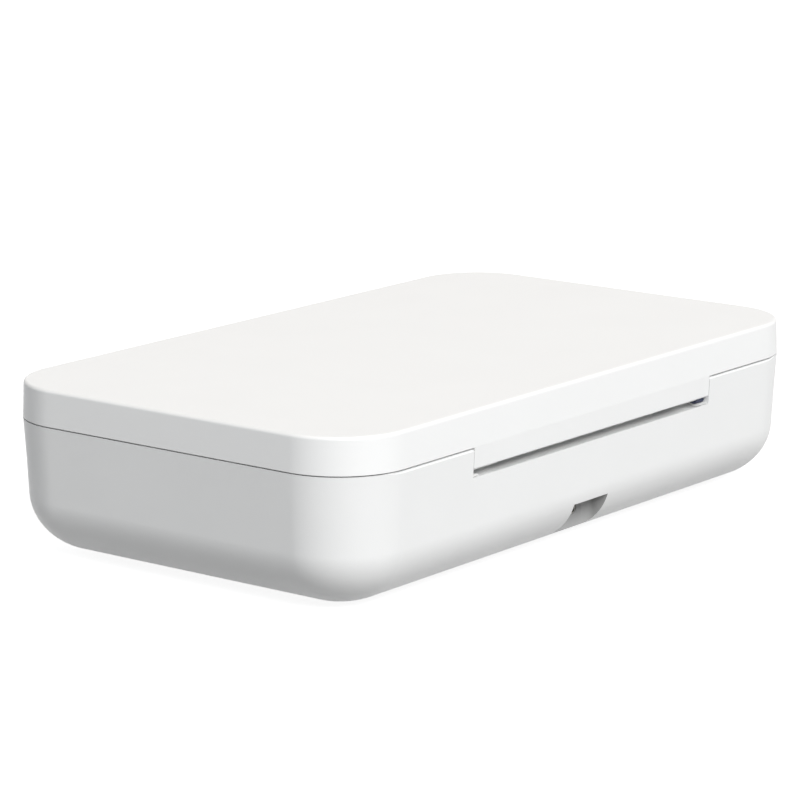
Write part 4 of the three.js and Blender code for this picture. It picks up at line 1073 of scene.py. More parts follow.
@dataclass
class BaseHousing:
    """The base's moulded shell, with all its openings."""

    form: CaseForm
    hinge: HingeLine
    wall: float = 2.2
    edge_width: float = 0.16
    port_half: float = 8.4
    port_roof: float = 13.5
    port_inset: float = 9.75
    port_wall: float = 1.7
    port_dish: float = 0.7
    port_corner: float = 3.5
    slot_half_x: float = 8.2
    slot_half_z: float = 3.7
    lens_bore: float = 1.1
    scoop_half_x: float = 17.0
    scoop_depth: float = 1.3
    scoop_height: float = 4.5
    foot_room: float = 0.3
    rim_step: float = 0.6
    boss_radius: float = 4.2
    boss_height: float = 3.0
    standoff_radius: float = 2.6
    screw_seat_z: float = 3.4
    screw_bore: float = 1.5
    pilot_bore: float = 1.1

    def build(self) -> None:
        """Model the shell and hang it on the base."""
        form, hinge = self.form, self.hinge
        outer = form.base_steps(0.0)
        shell = form.hollow(outer, form.base_steps(self.wall), Facing.DOWN)
        for block in (hinge.trough_block(0.0, form.rim_z - self.rim_step), self.port_block()):
            inside_case = combine(block, Joining.KEEP_COMMON, form.stack(outer, Facing.DOWN))
            combine(shell, Joining.ADD, inside_case)
        combine(shell, Joining.ADD, *self.floor_bosses())
        reach = hinge.notch_half + hinge.cheek + OVER
        pin_bore = hinge.bar(hinge.pin_radius + CLEARANCE, -reach, reach)
        rear_cuts = [hinge.notch(), hinge.rim_sweep_cut(), self.port_recess(), self.socket_hole()]
        combine(shell, Joining.CUT, *rear_cuts, pin_bore)
        combine(shell, Joining.CUT, *self.front_cuts(), *self.floor_cuts())
        soften(shell, self.edge_width)
        publish(shell, "base_housing", "base", Finish.BASE_CASE, "base_shell")

    def port_block(self) -> Object:
        """Add the block round the charging recess."""
        half, back = self.port_half + self.port_wall, self.form.half_y - self.port_inset
        low = (-half, back - self.port_wall - self.port_dish, self.form.floor_z - OVER)
        return new_block(low, (half, self.form.half_y + OVER, self.port_roof + self.port_wall))

    def port_recess(self) -> Object:
        """Add the recess: a flat roof, and a back wall dished a little between round corners."""
        half, dish, back = self.port_half, self.port_dish, self.form.half_y - self.port_inset
        high = (half, self.form.half_y + OVER, self.port_roof)
        room = new_block((-half, back - dish, -OVER), high)
        round_edges(
            room,
            self.port_corner,
            12,
            lambda a, b: max(a.y, b.y) < back and abs(a.z - b.z) > OVER,
        )
        bow = (half**2 + dish**2) / (2 * dish)
        start = (0, back - dish + bow, -2 * OVER)
        round_back = new_bar(bow, Axis.Z, start, self.port_roof + 4 * OVER, sides=512)
        return combine(room, Joining.KEEP_COMMON, round_back)

    def socket_hole(self) -> Object:
        """Add the hole that the charging socket stands in."""
        low, high, _, half = box_mm("usb_socket")
        gap = CLEARANCE
        far = (high.x + gap, self.form.half_y, high.z + gap)
        return pill((low.x - gap, low.y - gap, low.z - gap), far, half.z + gap)

    def front_cuts(self) -> list[Object]:
        """Add the button's slot, the light pipe's hole and the finger scoop in the rim."""
        low, high, middle, _ = box_mm("power_button")
        half_x, half_z = self.slot_half_x, self.slot_half_z
        near = (-half_x, low.y - OVER, middle.z - half_z)
        slot = pill(near, (half_x, high.y, middle.z + half_z), half_z)
        lens = box_mm("indicator_lens")
        start = (lens.middle.x, lens.low.y - OVER, lens.middle.z)
        hole = new_bar(self.lens_bore, Axis.Y, start, 2 * OVER)
        rim_z = self.form.rim_z
        bpy.ops.mesh.primitive_uv_sphere_add(
            segments=96,
            ring_count=48,
            radius=1,
            location=(0, self.form.base_inset(rim_z) - self.form.half_y, rim_z),
            scale=(self.scoop_half_x, self.scoop_depth, self.scoop_height),
        )
        return [slot, hole, settle(bpy.context.object)]

    def floor_bosses(self) -> list[Object]:
        """Add the bosses of the case screws and the standoffs of the main board."""
        inside = self.form.floor_z + self.wall
        root, board = inside - self.wall / 2, box_mm("main_board").low.z - CLEARANCE
        screws = middles(each("case_screw_"))
        bosses = upright_bars(screws, self.boss_radius, root, inside + self.boss_height)
        return bosses + upright_bars(self.standoffs(), self.standoff_radius, root, board, 32)

    @staticmethod
    def standoffs() -> list[Place]:
        """List the four places that the main board stands on."""
        (x1, y1), (x2, y2) = middles(each("board_screw_", "12"))
        return [(x, y) for x in (x1, x2) for y in (y1, y2)]

    def floor_cuts(self) -> list[Object]:
        """Add the feet's pockets, the case screws' sunk holes and the board screws' pilots."""
        foot, screw = box_mm("foot_front_left"), box_mm("case_screw_front_left")
        feet, screws = middles(each("foot_")), middles(each("case_screw_"))
        inside = self.form.floor_z + self.wall
        return [
            *upright_bars(feet, foot.half.x + self.foot_room, -OVER, foot.high.z + CLEARANCE, 64),
            *upright_bars(screws, screw.half.x + self.foot_room, 0, self.screw_seat_z, 40),
            *upright_bars(screws, self.screw_bore, 0, screw.high.z, 24),
            *upright_bars(self.standoffs(), self.pilot_bore, inside, inside + OVER, 24),
        ]


@dataclass
class LidHousing:
    """The lid's moulded shell, with the flap, knuckles and ribs of its hinge."""

    form: CaseForm
    hinge: HingeLine
    wall: float = 2.0
    top: float = 1.8
    lip: float = 0.9
    lip_height: float = 1.5
    inner_radius: float = 0.8
    flap_edge: float = 0.5
    flap_corner: float = 0.8
    setback: float = 0.02
    edge_width: float = 0.16
    boss_radius: float = 2.8
    boss_z: float = 43.3
    pilot_z: float = 46.8
    lead_bore: float = 1.0
    pilot_bore: float = 1.1

    def build(self) -> None:
        """Model the shell and hang it on the lid."""
        form = self.form
        lip_z = form.lid_z + self.lip_height
        outer = form.lid_steps(0.0, form.lid_z, form.top_z, form.edge_radius)
        inner = form.lid_steps(self.wall, lip_z, form.top_z - self.top, self.inner_radius)
        lip = [(self.lip, form.lid_z), (self.lip, lip_z)]
        shell = form.hollow(outer, [*lip, *inner], Facing.UP)
        screws, ceiling = middles(each("lid_screw_")), form.top_z - self.top / 2
        bosses = upright_bars(screws, self.boss_radius, self.boss_z, ceiling, 40)
        pilots = upright_bars(screws, self.pilot_bore, self.boss_z - OVER, self.pilot_z, 24)
        combine(shell, Joining.ADD, self.flap(), *self.knuckles(), *bosses)
        combine(shell, Joining.CUT, *self.pin_bores(), *pilots)
        soften(shell, self.edge_width)
        publish(shell, "lid_housing", "lid", Finish.LID_CASE, "lid_shell")

    def flap(self) -> Object:
        """Add the flap: a wall with the base's draft and a small round along its bottom."""
        form, hinge, half = self.form, self.hinge, self.hinge.flap_half
        rise, lean = self.lip_height / 2, form.base_slope * hinge.flap_hang
        behind, floor = form.half_y - hinge.flap_wall + CLOSE, hinge.flap_z + CLOSE
        low = (-half, form.half_y - hinge.flap_wall, hinge.flap_z)
        flap = new_block(low, (half, form.half_y - self.setback, form.lid_z))
        with editing(flap, Part.CORNER, lambda c: c.y > behind and c.z < floor):
            bpy.ops.transform.translate(value=(0, -lean, 0))
        with editing(flap, Part.FACE, lambda c, n: n.z > SQUARE):
            extrude((0, 0, rise))
        with editing(flap, Part.CORNER, lambda c: c.y > behind and c.z > form.lid_z + CLOSE):
            bpy.ops.transform.translate(value=(0, -self.lip / 2, 0))
        round_edges(
            flap,
            self.flap_edge,
            5,
            lambda a, b: max(a.z, b.z) < floor and min(a.y, b.y) > behind,
        )
        high = (half, form.half_y + OVER, form.lid_z + OVER)
        sides = new_block((-half, hinge.axis_y, hinge.flap_z), high)
        round_edges(
            sides,
            self.flap_corner,
            6,
            lambda a, b: max(a.z, b.z) < floor and abs(a.y - b.y) > CLOSE,
        )
        return combine(flap, Joining.KEEP_COMMON, sides)

    def knuckles(self) -> list[Object]:
        """Add the two knuckles, the left one shorter by the bush, and the ribs between them."""
        hinge = self.hinge
        inner = hinge.flap_half - hinge.knuckle_length
        bush_end = box_mm("hinge_bush").high.x + CLEARANCE
        spans = [(bush_end, -inner), (inner, hinge.flap_half)]
        for i in range(1, hinge.rib_count + 1):
            middle = -inner + 2 * inner * i / (hinge.rib_count + 1)
            spans.append((middle - hinge.rib_width / 2, middle + hinge.rib_width / 2))
        return [self.knuckle(low, high) for low, high in spans]

    def knuckle(self, low: float, high: float) -> Object:
        """Add one knuckle or rib: a round nose under a web that rises to the lid.

        Args:
            low: Its left end along X.
            high: Its right end along X.

        Returns:
            The knuckle.
        """
        hinge, radius = self.hinge, self.hinge.knuckle_radius
        top = (high, hinge.axis_y + radius, self.form.lid_z - CLEARANCE)
        web = new_block((low, hinge.axis_y - radius, hinge.axis_z), top)
        return combine(hinge.bar(radius, low, high, 64), Joining.ADD, web)

    def pin_bores(self) -> list[Object]:
        """Add the bores that both pins turn in, and the lead's way through the left knuckle."""
        hinge = self.hinge
        radius, outer = hinge.pin_radius + CLEARANCE, hinge.notch_half + OVER
        inner = hinge.notch_half - hinge.pin_reach - CLEARANCE
        lead_end = hinge.knuckle_length + OVER - hinge.notch_half
        lead_way = hinge.bar(self.lead_bore, -outer, lead_end, 32)
        return [hinge.bar(radius, -outer, -inner), hinge.bar(radius, inner, outer), lead_way]


@dataclass
class ChamberForm(Outline):
    """The outline of the chamber's mouth, which tray, linings, seal and liner follow."""

    half_x: float = 95.0
    half_y: float = 46.0
    corner: float = 12.0
    segments: int = 16
    tub_draft: float = 3.0
    floor_round: float = 4.0
    dish_draft: float = 12.0
    dish_round: float = 2.5
    round_count: int = 8

    def tub_steps(self, skin: float, deck: float, top: float, bottom: float) -> list[Step]:
        """List steps from the chamber's mouth down to its floor.

        Args:
            skin: How far inside the tub's inner face they lie; below zero is outside.
            deck: The height of the deck, where the draft starts.
            top: The height to start from.
            bottom: The height of the floor.

        Returns:
            The steps from the top down.
        """
        radius, span = self.floor_round - skin, (top, bottom)
        return drafted_steps(skin, self.tub_draft, deck, span, (radius, radius), self.round_count)

    def dish_steps(self, skin: float, plate: float, start: float, top: float) -> list[Step]:
        """List steps from the dish's mouth up to its ceiling.

        Args:
            skin: How far inside the dish's inner face they lie; below zero is outside.
            plate: The height of the liner's plate, where the draft starts.
            start: The height to start from.
            top: The height of the ceiling.

        Returns:
            The steps from the bottom up.
        """
        radius, span = self.dish_round - skin, (start, top)
        return drafted_steps(skin, self.dish_draft, plate, span, (radius, radius), self.round_count)

    def ring(self, inner: float, outer: float, low: float, high: float) -> Object:
        """Build a flat ring round the chamber's mouth.

        Args:
            inner: How far its inner side lies outside the mouth.
            outer: How far its outer side lies outside the mouth.
            low: The height of its underside.
            high: The height of its top.

        Returns:
            The ring.
        """
        ring = self.plate(-outer, low)
        with editing(ring):
            bpy.ops.mesh.inset(thickness=outer - inner, depth=0)
            bpy.ops.mesh.delete(type="FACE")
            bpy.ops.mesh.select_all(action="SELECT")
            extrude((0, 0, high - low))
        face_outwards(ring)
        return ring


@dataclass
class Chamber:
    """The inner tray, its bright lining and the seal round its mouth."""

    form: CaseForm
    hinge: HingeLine
    mouth: ChamberForm
    base_wall: float = 2.2
    fit: float = 0.3
    deck_wall: float = 1.8
    tub_wall: float = 1.5
    tray_edge: float = 0.2
    lining_gap: float = 0.2
    lining_wall: float = 0.5
    lining_edge: float = 0.12
    seal_inner: float = 2.5
    seal_outer: float = 4.9
    groove_depth: float = 0.7
    groove_gap: float = 0.15
    seal_crown: float = 0.55
    post_radius: float = 3.6
    post_z: float = 6.1
    pilot_bore: float = 1.3
    magnet_radius: float = 4.0
    cup_wall: float = 1.1
    cup_height: float = 1.7
    rib_place: float = 7.0
    rib_width: float = 1.5
    lead_hole: float = 1.2

    def build(self) -> None:
        """Model the tray, the lining and the seal."""
        self.build_tray()
        self.build_lining()
        self.build_seal()

    def build_tray(self) -> None:
        """Model the deck with its tub, groove and hinge cut-out."""
        form, mouth = self.form, self.mouth
        deck, floor = box_mm("inner_tray").high.z, box_mm("base_mirror").low.z - self.lining_gap
        under, above, skin = deck - self.deck_wall, deck + OVER, self.base_wall + self.fit
        tub_floor, tub_top = floor - self.tub_wall, deck - self.deck_wall / 2
        outside = mouth.tub_steps(-self.tub_wall, deck, tub_top, tub_floor)
        tray = form.stack([(skin + form.base_inset(h), h) for h in (deck, under)], Facing.DOWN)
        screws, magnets = middles(each("case_screw_")), middles(each("base_magnet_", SIDES))
        post_top = floor - self.tub_wall / 2
        cup_low, cup_radius = under - self.cup_height, self.magnet_radius + self.cup_wall
        combine(
            tray,
            Joining.ADD,
            mouth.stack(outside, Facing.DOWN),
            *upright_bars(screws, self.post_radius, self.post_z, post_top),
            *upright_bars(magnets, cup_radius, cup_low + CLEARANCE, under + CLEARANCE),
            *self.board_ribs(),
        )
        combine(
            tray,
            Joining.CUT,
            mouth.stack(mouth.tub_steps(0.0, deck, above, floor), Facing.DOWN),
            mouth.ring(
                self.seal_inner - self.groove_gap,
                self.seal_outer + self.groove_gap,
                deck - self.groove_depth,
                above,
            ),
            self.hinge.trough_block(self.fit, above),
            *self.lead_holes(floor),
            *upright_bars(screws, self.pilot_bore, 0, tub_floor - self.tub_wall / 2, 24),
            *upright_bars(magnets, self.magnet_radius + CLEARANCE, cup_low - OVER, under),
        )
        soften(tray, self.tray_edge)
        publish(tray, "chamber_tray", "base", Finish.INNER, "inner_tray")

    def board_ribs(self) -> list[Object]:
        """Add the two ribs in front of the tub that back the switch board."""
        low, high, _, _ = box_mm("switch_board")
        tub_y, half = self.mouth.floor_round - self.mouth.half_y, self.rib_width / 2
        return [
            new_block((x - half, high.y + self.fit, low.z), (x + half, tub_y, high.z))
            for x in (-self.rib_place, self.rib_place)
        ]

    def lead_holes(self, floor: float) -> list[Object]:
        """Add the two holes that the lower lamp's leads pass down through."""
        places = [(x, 0) for x, _ in middles(each("lower_lamp_holder_", SIDES))]
        return upright_bars(places, self.lead_hole, floor - OVER, floor + OVER, 32)

    def build_lining(self) -> None:
        """Model the thin bright pan inside the tub."""
        low, high, _, _ = box_mm("base_mirror")
        deck, wall = high.z + CLEARANCE, self.lining_wall
        outer = self.mouth.tub_steps(self.lining_gap, deck, high.z, low.z)
        inner = self.mouth.tub_steps(self.lining_gap + wall, deck, high.z, low.z + wall)
        pan = self.mouth.hollow(outer, inner, Facing.DOWN)
        combine(pan, Joining.CUT, *self.lead_holes(low.z))
        soften(pan, self.lining_edge)
        publish(pan, "chamber_lining", "base", Finish.REFLECTOR, "base_mirror")

    def build_seal(self) -> None:
        """Model the round-topped seal that stands in its groove."""
        low, high, _, _ = box_mm("chamber_seal")
        seal = self.mouth.ring(self.seal_inner, self.seal_outer, low.z, high.z)
        round_edges(seal, self.seal_crown, 4, lambda a, b: min(a.z, b.z) > high.z - CLOSE)
        publish(seal, "mouth_seal", "base", Finish.SEAL, "chamber_seal", smooth=50.0)


@dataclass
class LidInside:
    """The lid's liner with its dish, the bright lining of the dish and the liner's screws."""

    form: CaseForm
    hinge: HingeLine
    mouth: ChamberForm
    fit: float = 0.3
    dish_wall: float = 1.0
    plate: float = 1.6
    liner_edge: float = 0.2
    lining_gap: float = 0.2
    lining_wall: float = 0.4
    lining_edge: float = 0.1
    pad_radius: float = 3.6
    pad_height: float = 3.0
    sink: float = 1.5
    screw_bore: float = 1.1
    shank_radius: float = 1.0
    cup_wall: float = 1.0
    cup_height: float = 1.7
    lead_hole: float = 1.2
    lead_room: float = 14.13

    def build(self) -> None:
        """Model the liner, its lining and the screws that hold it."""
        self.build_liner()
        self.build_lining()
        self.build_screws()

    def build_liner(self) -> None:
        """Model the flat frame with the dish over the chamber."""
        form, mouth = self.form, self.mouth
        low, high, _, _ = box_mm("lid_liner")
        skin, ceiling = form.half_x - high.x, high.z - self.dish_wall
        screws = middles(each("lid_screw_"))
        liner = form.stack([(skin, low.z), (skin, low.z + self.plate)], Facing.UP)
        dish = mouth.dish_steps(-self.dish_wall, low.z, low.z + self.plate / 2, high.z)
        room = mouth.dish_steps(0.0, low.z, low.z - OVER, ceiling)
        pads = upright_bars(screws, self.pad_radius, low.z, low.z + self.pad_height)
        cups = self.magnet_cups(self.cup_wall, 0)
        combine(liner, Joining.ADD, mouth.stack(dish, Facing.UP), *pads, *cups)
        cup_rooms = self.magnet_cups(0, CLEARANCE)
        combine(liner, Joining.CUT, *cup_rooms, mouth.stack(room, Facing.UP))
        combine(liner, Joining.CUT, *self.liner_cuts(low.z))
        soften(liner, self.liner_edge)
        publish(liner, "lid_liner_frame", "lid", Finish.INNER, "lid_liner")

    def magnet_cups(self, grow: float, lift: float) -> list[Object]:
        """Add round bars at the lid's three magnets: the collars, or the rooms inside them.

        Args:
            grow: How thick the collar's wall is, or nought for the room.
            lift: How far the bars start above the magnets' seats.

        Returns:
            The bars.
        """
        bars = []
        for node in ("lid_magnet_left", "lid_magnet_right", "key_magnet"):
            radius = box_mm(node).half.x + CLEARANCE + grow
            low = box_mm(node).low.z - 2 * CLEARANCE + lift
            bars += upright_bars(middles([node]), radius, low, low + self.cup_height)
        return bars

    def liner_cuts(self, low: float) -> list[Object]:
        """Add the sunk screw holes and the ways of the lamp's lead.

        Args:
            low: The height of the liner's underside.

        Returns:
            The cutting bodies.
        """
        screws, start = middles(each("lid_screw_")), low - OVER
        head, hinge = box_mm("lid_screw_front_left").half.x + self.fit, self.hinge
        left = hinge.knuckle_length - hinge.flap_half
        passage = (left, hinge.axis_y - hinge.knuckle_radius, start)
        return [
            *upright_bars(screws, head, start, low + self.sink),
            *upright_bars(screws, self.screw_bore, start, low + 2 * OVER, 32),
            self.lead_way(-self.form.half_x, OVER - self.mouth.half_x),
            new_block(passage, (left + self.lead_room, self.form.half_y, low + OVER)),
        ]

    def lead_way(self, left: float, right: float) -> Object:
        """Add the hole along X for the upper lamp's lead."""
        start = (left, 0, box_mm("upper_lamp").middle.z)
        return new_bar(self.lead_hole, Axis.X, start, right - left, 32)

    def build_lining(self) -> None:
        """Model the thin bright lining of the dish."""
        mouth, wall = self.mouth, self.lining_wall
        low, high, _, _ = box_mm("lid_mirror")
        plate = low.z - CLEARANCE
        outer = mouth.dish_steps(self.lining_gap, plate, low.z, high.z)
        inner = mouth.dish_steps(self.lining_gap + wall, plate, low.z, high.z - wall)
        pan = mouth.hollow(outer, inner, Facing.UP)
        combine(pan, Joining.CUT, self.lead_way(-mouth.half_x - OVER, OVER - mouth.half_x))
        soften(pan, self.lining_edge)
        publish(pan, "lid_lining", "lid", Finish.REFLECTOR, "lid_mirror")

    def build_screws(self) -> None:
        """Model one pan-head screw and copy it to its places."""
        low, high, _, half = box_mm("lid_screw_front_left")
        pattern = pan_head_screw(half.x, self.shank_radius, high.z - low.z)
        places = [(*place, low.z) for place in middles(each("lid_screw_"))]
        for quarter, screw in zip(QUARTERS, copies_at(pattern, places)):
            name, node = "liner_screw_" + quarter, "lid_screw_" + quarter
            publish(screw, name, "lid", Finish.SCREW, node)


def pan_head_screw(head_radius: float, shank_radius: float, length: float) -> Object:
    """Model a pan-head screw with a cross recess, which stands on its head at the origin.

    Args:
        head_radius: The head's radius.
        shank_radius: The shank's radius.
        length: The whole length.

    Returns:
        The screw.
    """
    height = head_radius / 2
    head = new_bar(head_radius, Axis.Z, (0, 0, 0), height)
    round_edges(head, height * 0.6, 4, lambda a, b: max(a.z, b.z) < CLOSE)
    shank = new_bar(shank_radius, Axis.Z, (0, 0, height / 2), length - height / 2, 32)
    round_edges(shank, shank_radius * 0.8, 1, lambda a, b: min(a.z, b.z) > length - CLOSE)
    screw = combine(head, Joining.ADD, shank)
    slot, reach, depth = head_radius * 0.16, head_radius * 0.55, height * 0.7
    for x, y in ((slot, reach), (reach, slot)):
        combine(screw, Joining.CUT, new_block((-x, -y, -1), (x, y, depth)))
    return soften(screw, 0.05, 1)


@dataclass
class Lamps:
    """The two tube lamps, with their end caps, electrodes and holders."""

    tube_wall: float = 0.45
    tube_edge: float = 0.15
    cap_length: float = 5.0
    cap_edge: float = 0.25
    electrode_radius: float = 0.9
    electrode_length: float = 9.0
    electrode_gap: float = 0.2
    electrode_edge: float = 0.1
    grip_wall: float = 1.2
    foot_half: float = 4.5
    holder_edge: float = 0.3

    def build(self) -> None:
        """Model both lamps; their holders stand on feet below, or hang by them above."""
        for level, body, seat_way in (("lower", "base", -1), ("upper", "lid", 1)):
            lamp = box_mm(level + "_lamp")
            node = level + "_lamp"
            publish(self.tube(lamp), level + "_lamp_tube", body, Finish.LAMP, node)
            publish(self.ends(lamp), level + "_lamp_ends", body, Finish.WIRE)
            for side in SIDES:
                node, name = f"{level}_lamp_holder_{side}", f"{level}_lamp_socket_{side}"
                holder = self.holder(box_mm(node), lamp, seat_way)
                publish(holder, name, body, Finish.LAMP_SOCKET, node)

    def tube(self, lamp: Box) -> Object:
        """Model the hollow quartz tube with rounded shoulders.

        Args:
            lamp: The lamp's box.

        Returns:
            The tube.
        """
        start = (lamp.low.x + self.cap_length, 0, lamp.middle.z)
        length = 2 * (lamp.half.x - self.cap_length)
        tube = new_bar(lamp.half.z, Axis.X, start, length, 40)
        with editing(tube, Part.FACE, lambda c, n: abs(n.x) > SQUARE):
            bpy.ops.mesh.inset(thickness=self.tube_wall, depth=0)
            bpy.ops.mesh.delete(type="FACE")
            bpy.ops.mesh.select_all(action="DESELECT")
            bpy.ops.mesh.select_mode(type="EDGE")
            bpy.ops.mesh.select_non_manifold()
            bpy.ops.mesh.bridge_edge_loops()
        face_outwards(tube)
        return soften(tube, self.tube_edge, 3)

    def ends(self, lamp: Box) -> Object:
        """Model the metal end caps and the cup electrodes inside the tube.

        Args:
            lamp: The lamp's box.

        Returns:
            The caps and electrodes as one object.
        """
        cap_radius = lamp.half.z - self.tube_wall - CLEARANCE
        bars = (
            (cap_radius, 0.0, self.cap_length, self.cap_edge, 3, 32),
            (
                self.electrode_radius,
                self.cap_length + self.electrode_gap,
                self.electrode_length,
                self.electrode_edge,
                2,
                24,
            ),
        )
        parts = []
        for end, way in ((lamp.low.x, 1), (lamp.high.x, -1)):
            for radius, gap, length, edge, segments, sides in bars:
                left = min(end + way * gap, end + way * (gap + length))
                bar = new_bar(radius, Axis.X, (left, 0, lamp.middle.z), length, sides)
                parts.append(soften(bar, edge, segments))
        return gather(parts)

    def holder(self, box: Box, lamp: Box, seat_way: int) -> Object:
        """Model one arched holder.

        Args:
            box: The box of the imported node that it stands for.
            lamp: The lamp's box.
            seat_way: Which way its foot is: -1 below, 1 above.

        Returns:
            The holder.
        """
        left, right, bottom, top = box.low.x, box.high.x, lamp.low.z, lamp.high.z
        radius, lamp_z = (top - bottom) / 2, (bottom + top) / 2
        grip = radius + self.grip_wall
        crown = new_bar(grip, Axis.X, (left, 0, lamp_z), right - left)
        z_low, z_high = sorted((lamp_z, box.low.z if seat_way < 0 else box.high.z))
        body = new_block((left, -grip, z_low), (right, grip, z_high))
        with editing(body, Part.FACE, lambda c, n: n.z * seat_way > SQUARE):
            bpy.ops.transform.resize(value=(1, self.foot_half / grip, 1))
        combine(crown, Joining.ADD, body)
        start, reach = (left - 1, 0, lamp_z), right - left + 2
        combine(crown, Joining.CUT, new_bar(radius + CLEARANCE, Axis.X, start, reach, 40))
        return soften(crown, self.holder_edge, 3)


@dataclass
class WireWork:
    """The phone rack over the lower lamp and the guard under the upper one."""

    rack_radius: float = 1.0
    rack_count: int = 8
    rack_bend: float = 4.0
    rack_half_x: float = 78.0
    leg_edge: float = 0.25
    rail_y: float = 24.0
    rail_edge: float = 0.3
    guard_radius: float = 0.5
    guard_count: int = 9
    guard_half_y: float = 8.0
    guard_edge: float = 0.15

    def build(self) -> None:
        """Model the rack and the guard."""
        self.build_rack()
        self.build_guard()

    def build_rack(self) -> None:
        """Model one bent cross wire, copy it along the rack and lay the two rails under it."""
        low, high, _, _ = box_mm("phone_rack")
        radius, length = self.rack_radius, high.x - low.x
        top, places = high.z - radius, spread(self.rack_count, self.rack_half_x)
        wires = copies_at(self.arch(high.y - radius, top, low.z), [(x, 0, 0) for x in places])
        for y in (-self.rail_y, self.rail_y):
            rail = new_bar(radius, Axis.X, (low.x, y, top - 1.5 * radius), length, 16)
            wires.append(soften(rail, self.rail_edge))
        publish(gather(wires), "rack_wires", "base", Finish.WIRE, "phone_rack", smooth=50.0)

    def arch(self, half_y: float, top: float, bottom: float) -> Object:
        """Model a wire that goes up, over and down again.

        Args:
            half_y: Half the distance between its legs.
            top: The height of its straight run.
            bottom: The height of its feet.

        Returns:
            The wire.
        """
        bend_y, bend_z = half_y - self.rack_bend, top - self.rack_bend
        bpy.ops.mesh.primitive_circle_add(
            radius=self.rack_radius, vertices=16, fill_type="NGON", location=(0, -half_y, bottom)
        )
        wire = settle(bpy.context.object)
        with editing(wire):
            extrude((0, 0, bend_z - bottom))
            self.turn((0, -bend_y, bend_z))
            extrude((0, 2 * bend_y, 0))
            self.turn((0, bend_y, bend_z))
            extrude((0, 0, bottom - bend_z))
        face_outwards(wire)
        return soften(wire, self.leg_edge)

    @staticmethod
    def turn(centre: Point) -> None:
        """Draw the selected end of a wire round a quarter turn about X."""
        bpy.ops.mesh.spin(steps=8, angle=math.pi / 2, center=centre, axis=(1, 0, 0))

    def build_guard(self) -> None:
        """Model the ladder of thin wires."""
        low, high, middle, half = box_mm("upper_lamp_guard")
        radius, reach = self.guard_radius, self.guard_half_y
        wires = []
        for y in (-reach, reach):
            rail = new_bar(radius, Axis.X, (low.x, y, middle.z), 2 * half.x, 12)
            wires.append(soften(rail, self.guard_edge))
        for x in spread(self.guard_count, high.x - radius):
            wires.append(new_bar(radius, Axis.Y, (x, -reach, middle.z), 2 * reach, 12))
        publish(gather(wires), "guard_wires", "lid", Finish.WIRE, "upper_lamp_guard", smooth=50.0)


@dataclass
class FrontControls:
    """The push button and the indicator's light pipe."""

    half_x: float = 8.0
    half_z: float = 3.5
    depth: float = 4.4
    flange: float = 1.6
    flange_depth: float = 1.2
    stem_radius: float = 1.8
    rim: float = 0.35
    dish_rings: int = 3
    dish_ring: float = 0.5
    dish_drop: float = 0.0875
    cap_edge: float = 0.22
    pipe_radius: float = 1.0
    pipe_edge: float = 0.2
    shoulder_y: float = 2.5
    shoulder_length: float = 1.4

    def build(self) -> None:
        """Model the button and the light pipe."""
        self.build_button()
        self.build_lens()

    def build_button(self) -> None:
        """Model the slot-shaped cap with its dished face, flange and stem."""
        low, high, middle, _ = box_mm("power_button")
        x, z, inner = self.half_x, self.half_z, low.y + self.depth
        cap = pill((-x, low.y, middle.z - z), (x, inner, middle.z + z), z)
        with editing(cap, Part.FACE, lambda c, n: n.y < -SQUARE):
            bpy.ops.mesh.inset(thickness=self.rim, depth=0)
            for _ in range(self.dish_rings):
                bpy.ops.mesh.inset(thickness=self.dish_ring, depth=-self.dish_drop)
        x, z, front = x + self.flange, z + self.flange, inner - self.flange_depth
        plate = pill((-x, front, middle.z - z), (x, inner, middle.z + z), z)
        stem = new_bar(self.stem_radius, Axis.Y, (0, front, middle.z), high.y - front)
        combine(cap, Joining.ADD, plate, stem)
        soften(cap, self.cap_edge, 3)
        publish(cap, "button_cap", "button", Finish.BUTTON_CAP, "power_button")

    def build_lens(self) -> None:
        """Model the stepped light pipe with its domed end."""
        low, _, middle, half = box_mm("indicator_lens")
        start, seat = (middle.x, low.y, middle.z), (middle.x, low.y + self.shoulder_y, middle.z)
        pipe = new_bar(self.pipe_radius, Axis.Y, start, 2 * half.y, 40)
        shoulder = new_bar(half.x, Axis.Y, seat, self.shoulder_length, 40)
        combine(pipe, Joining.ADD, shoulder)
        soften(pipe, self.pipe_edge, 3)
        publish(pipe, "indicator_pipe", "base", Finish.INDICATOR, "indicator_lens")


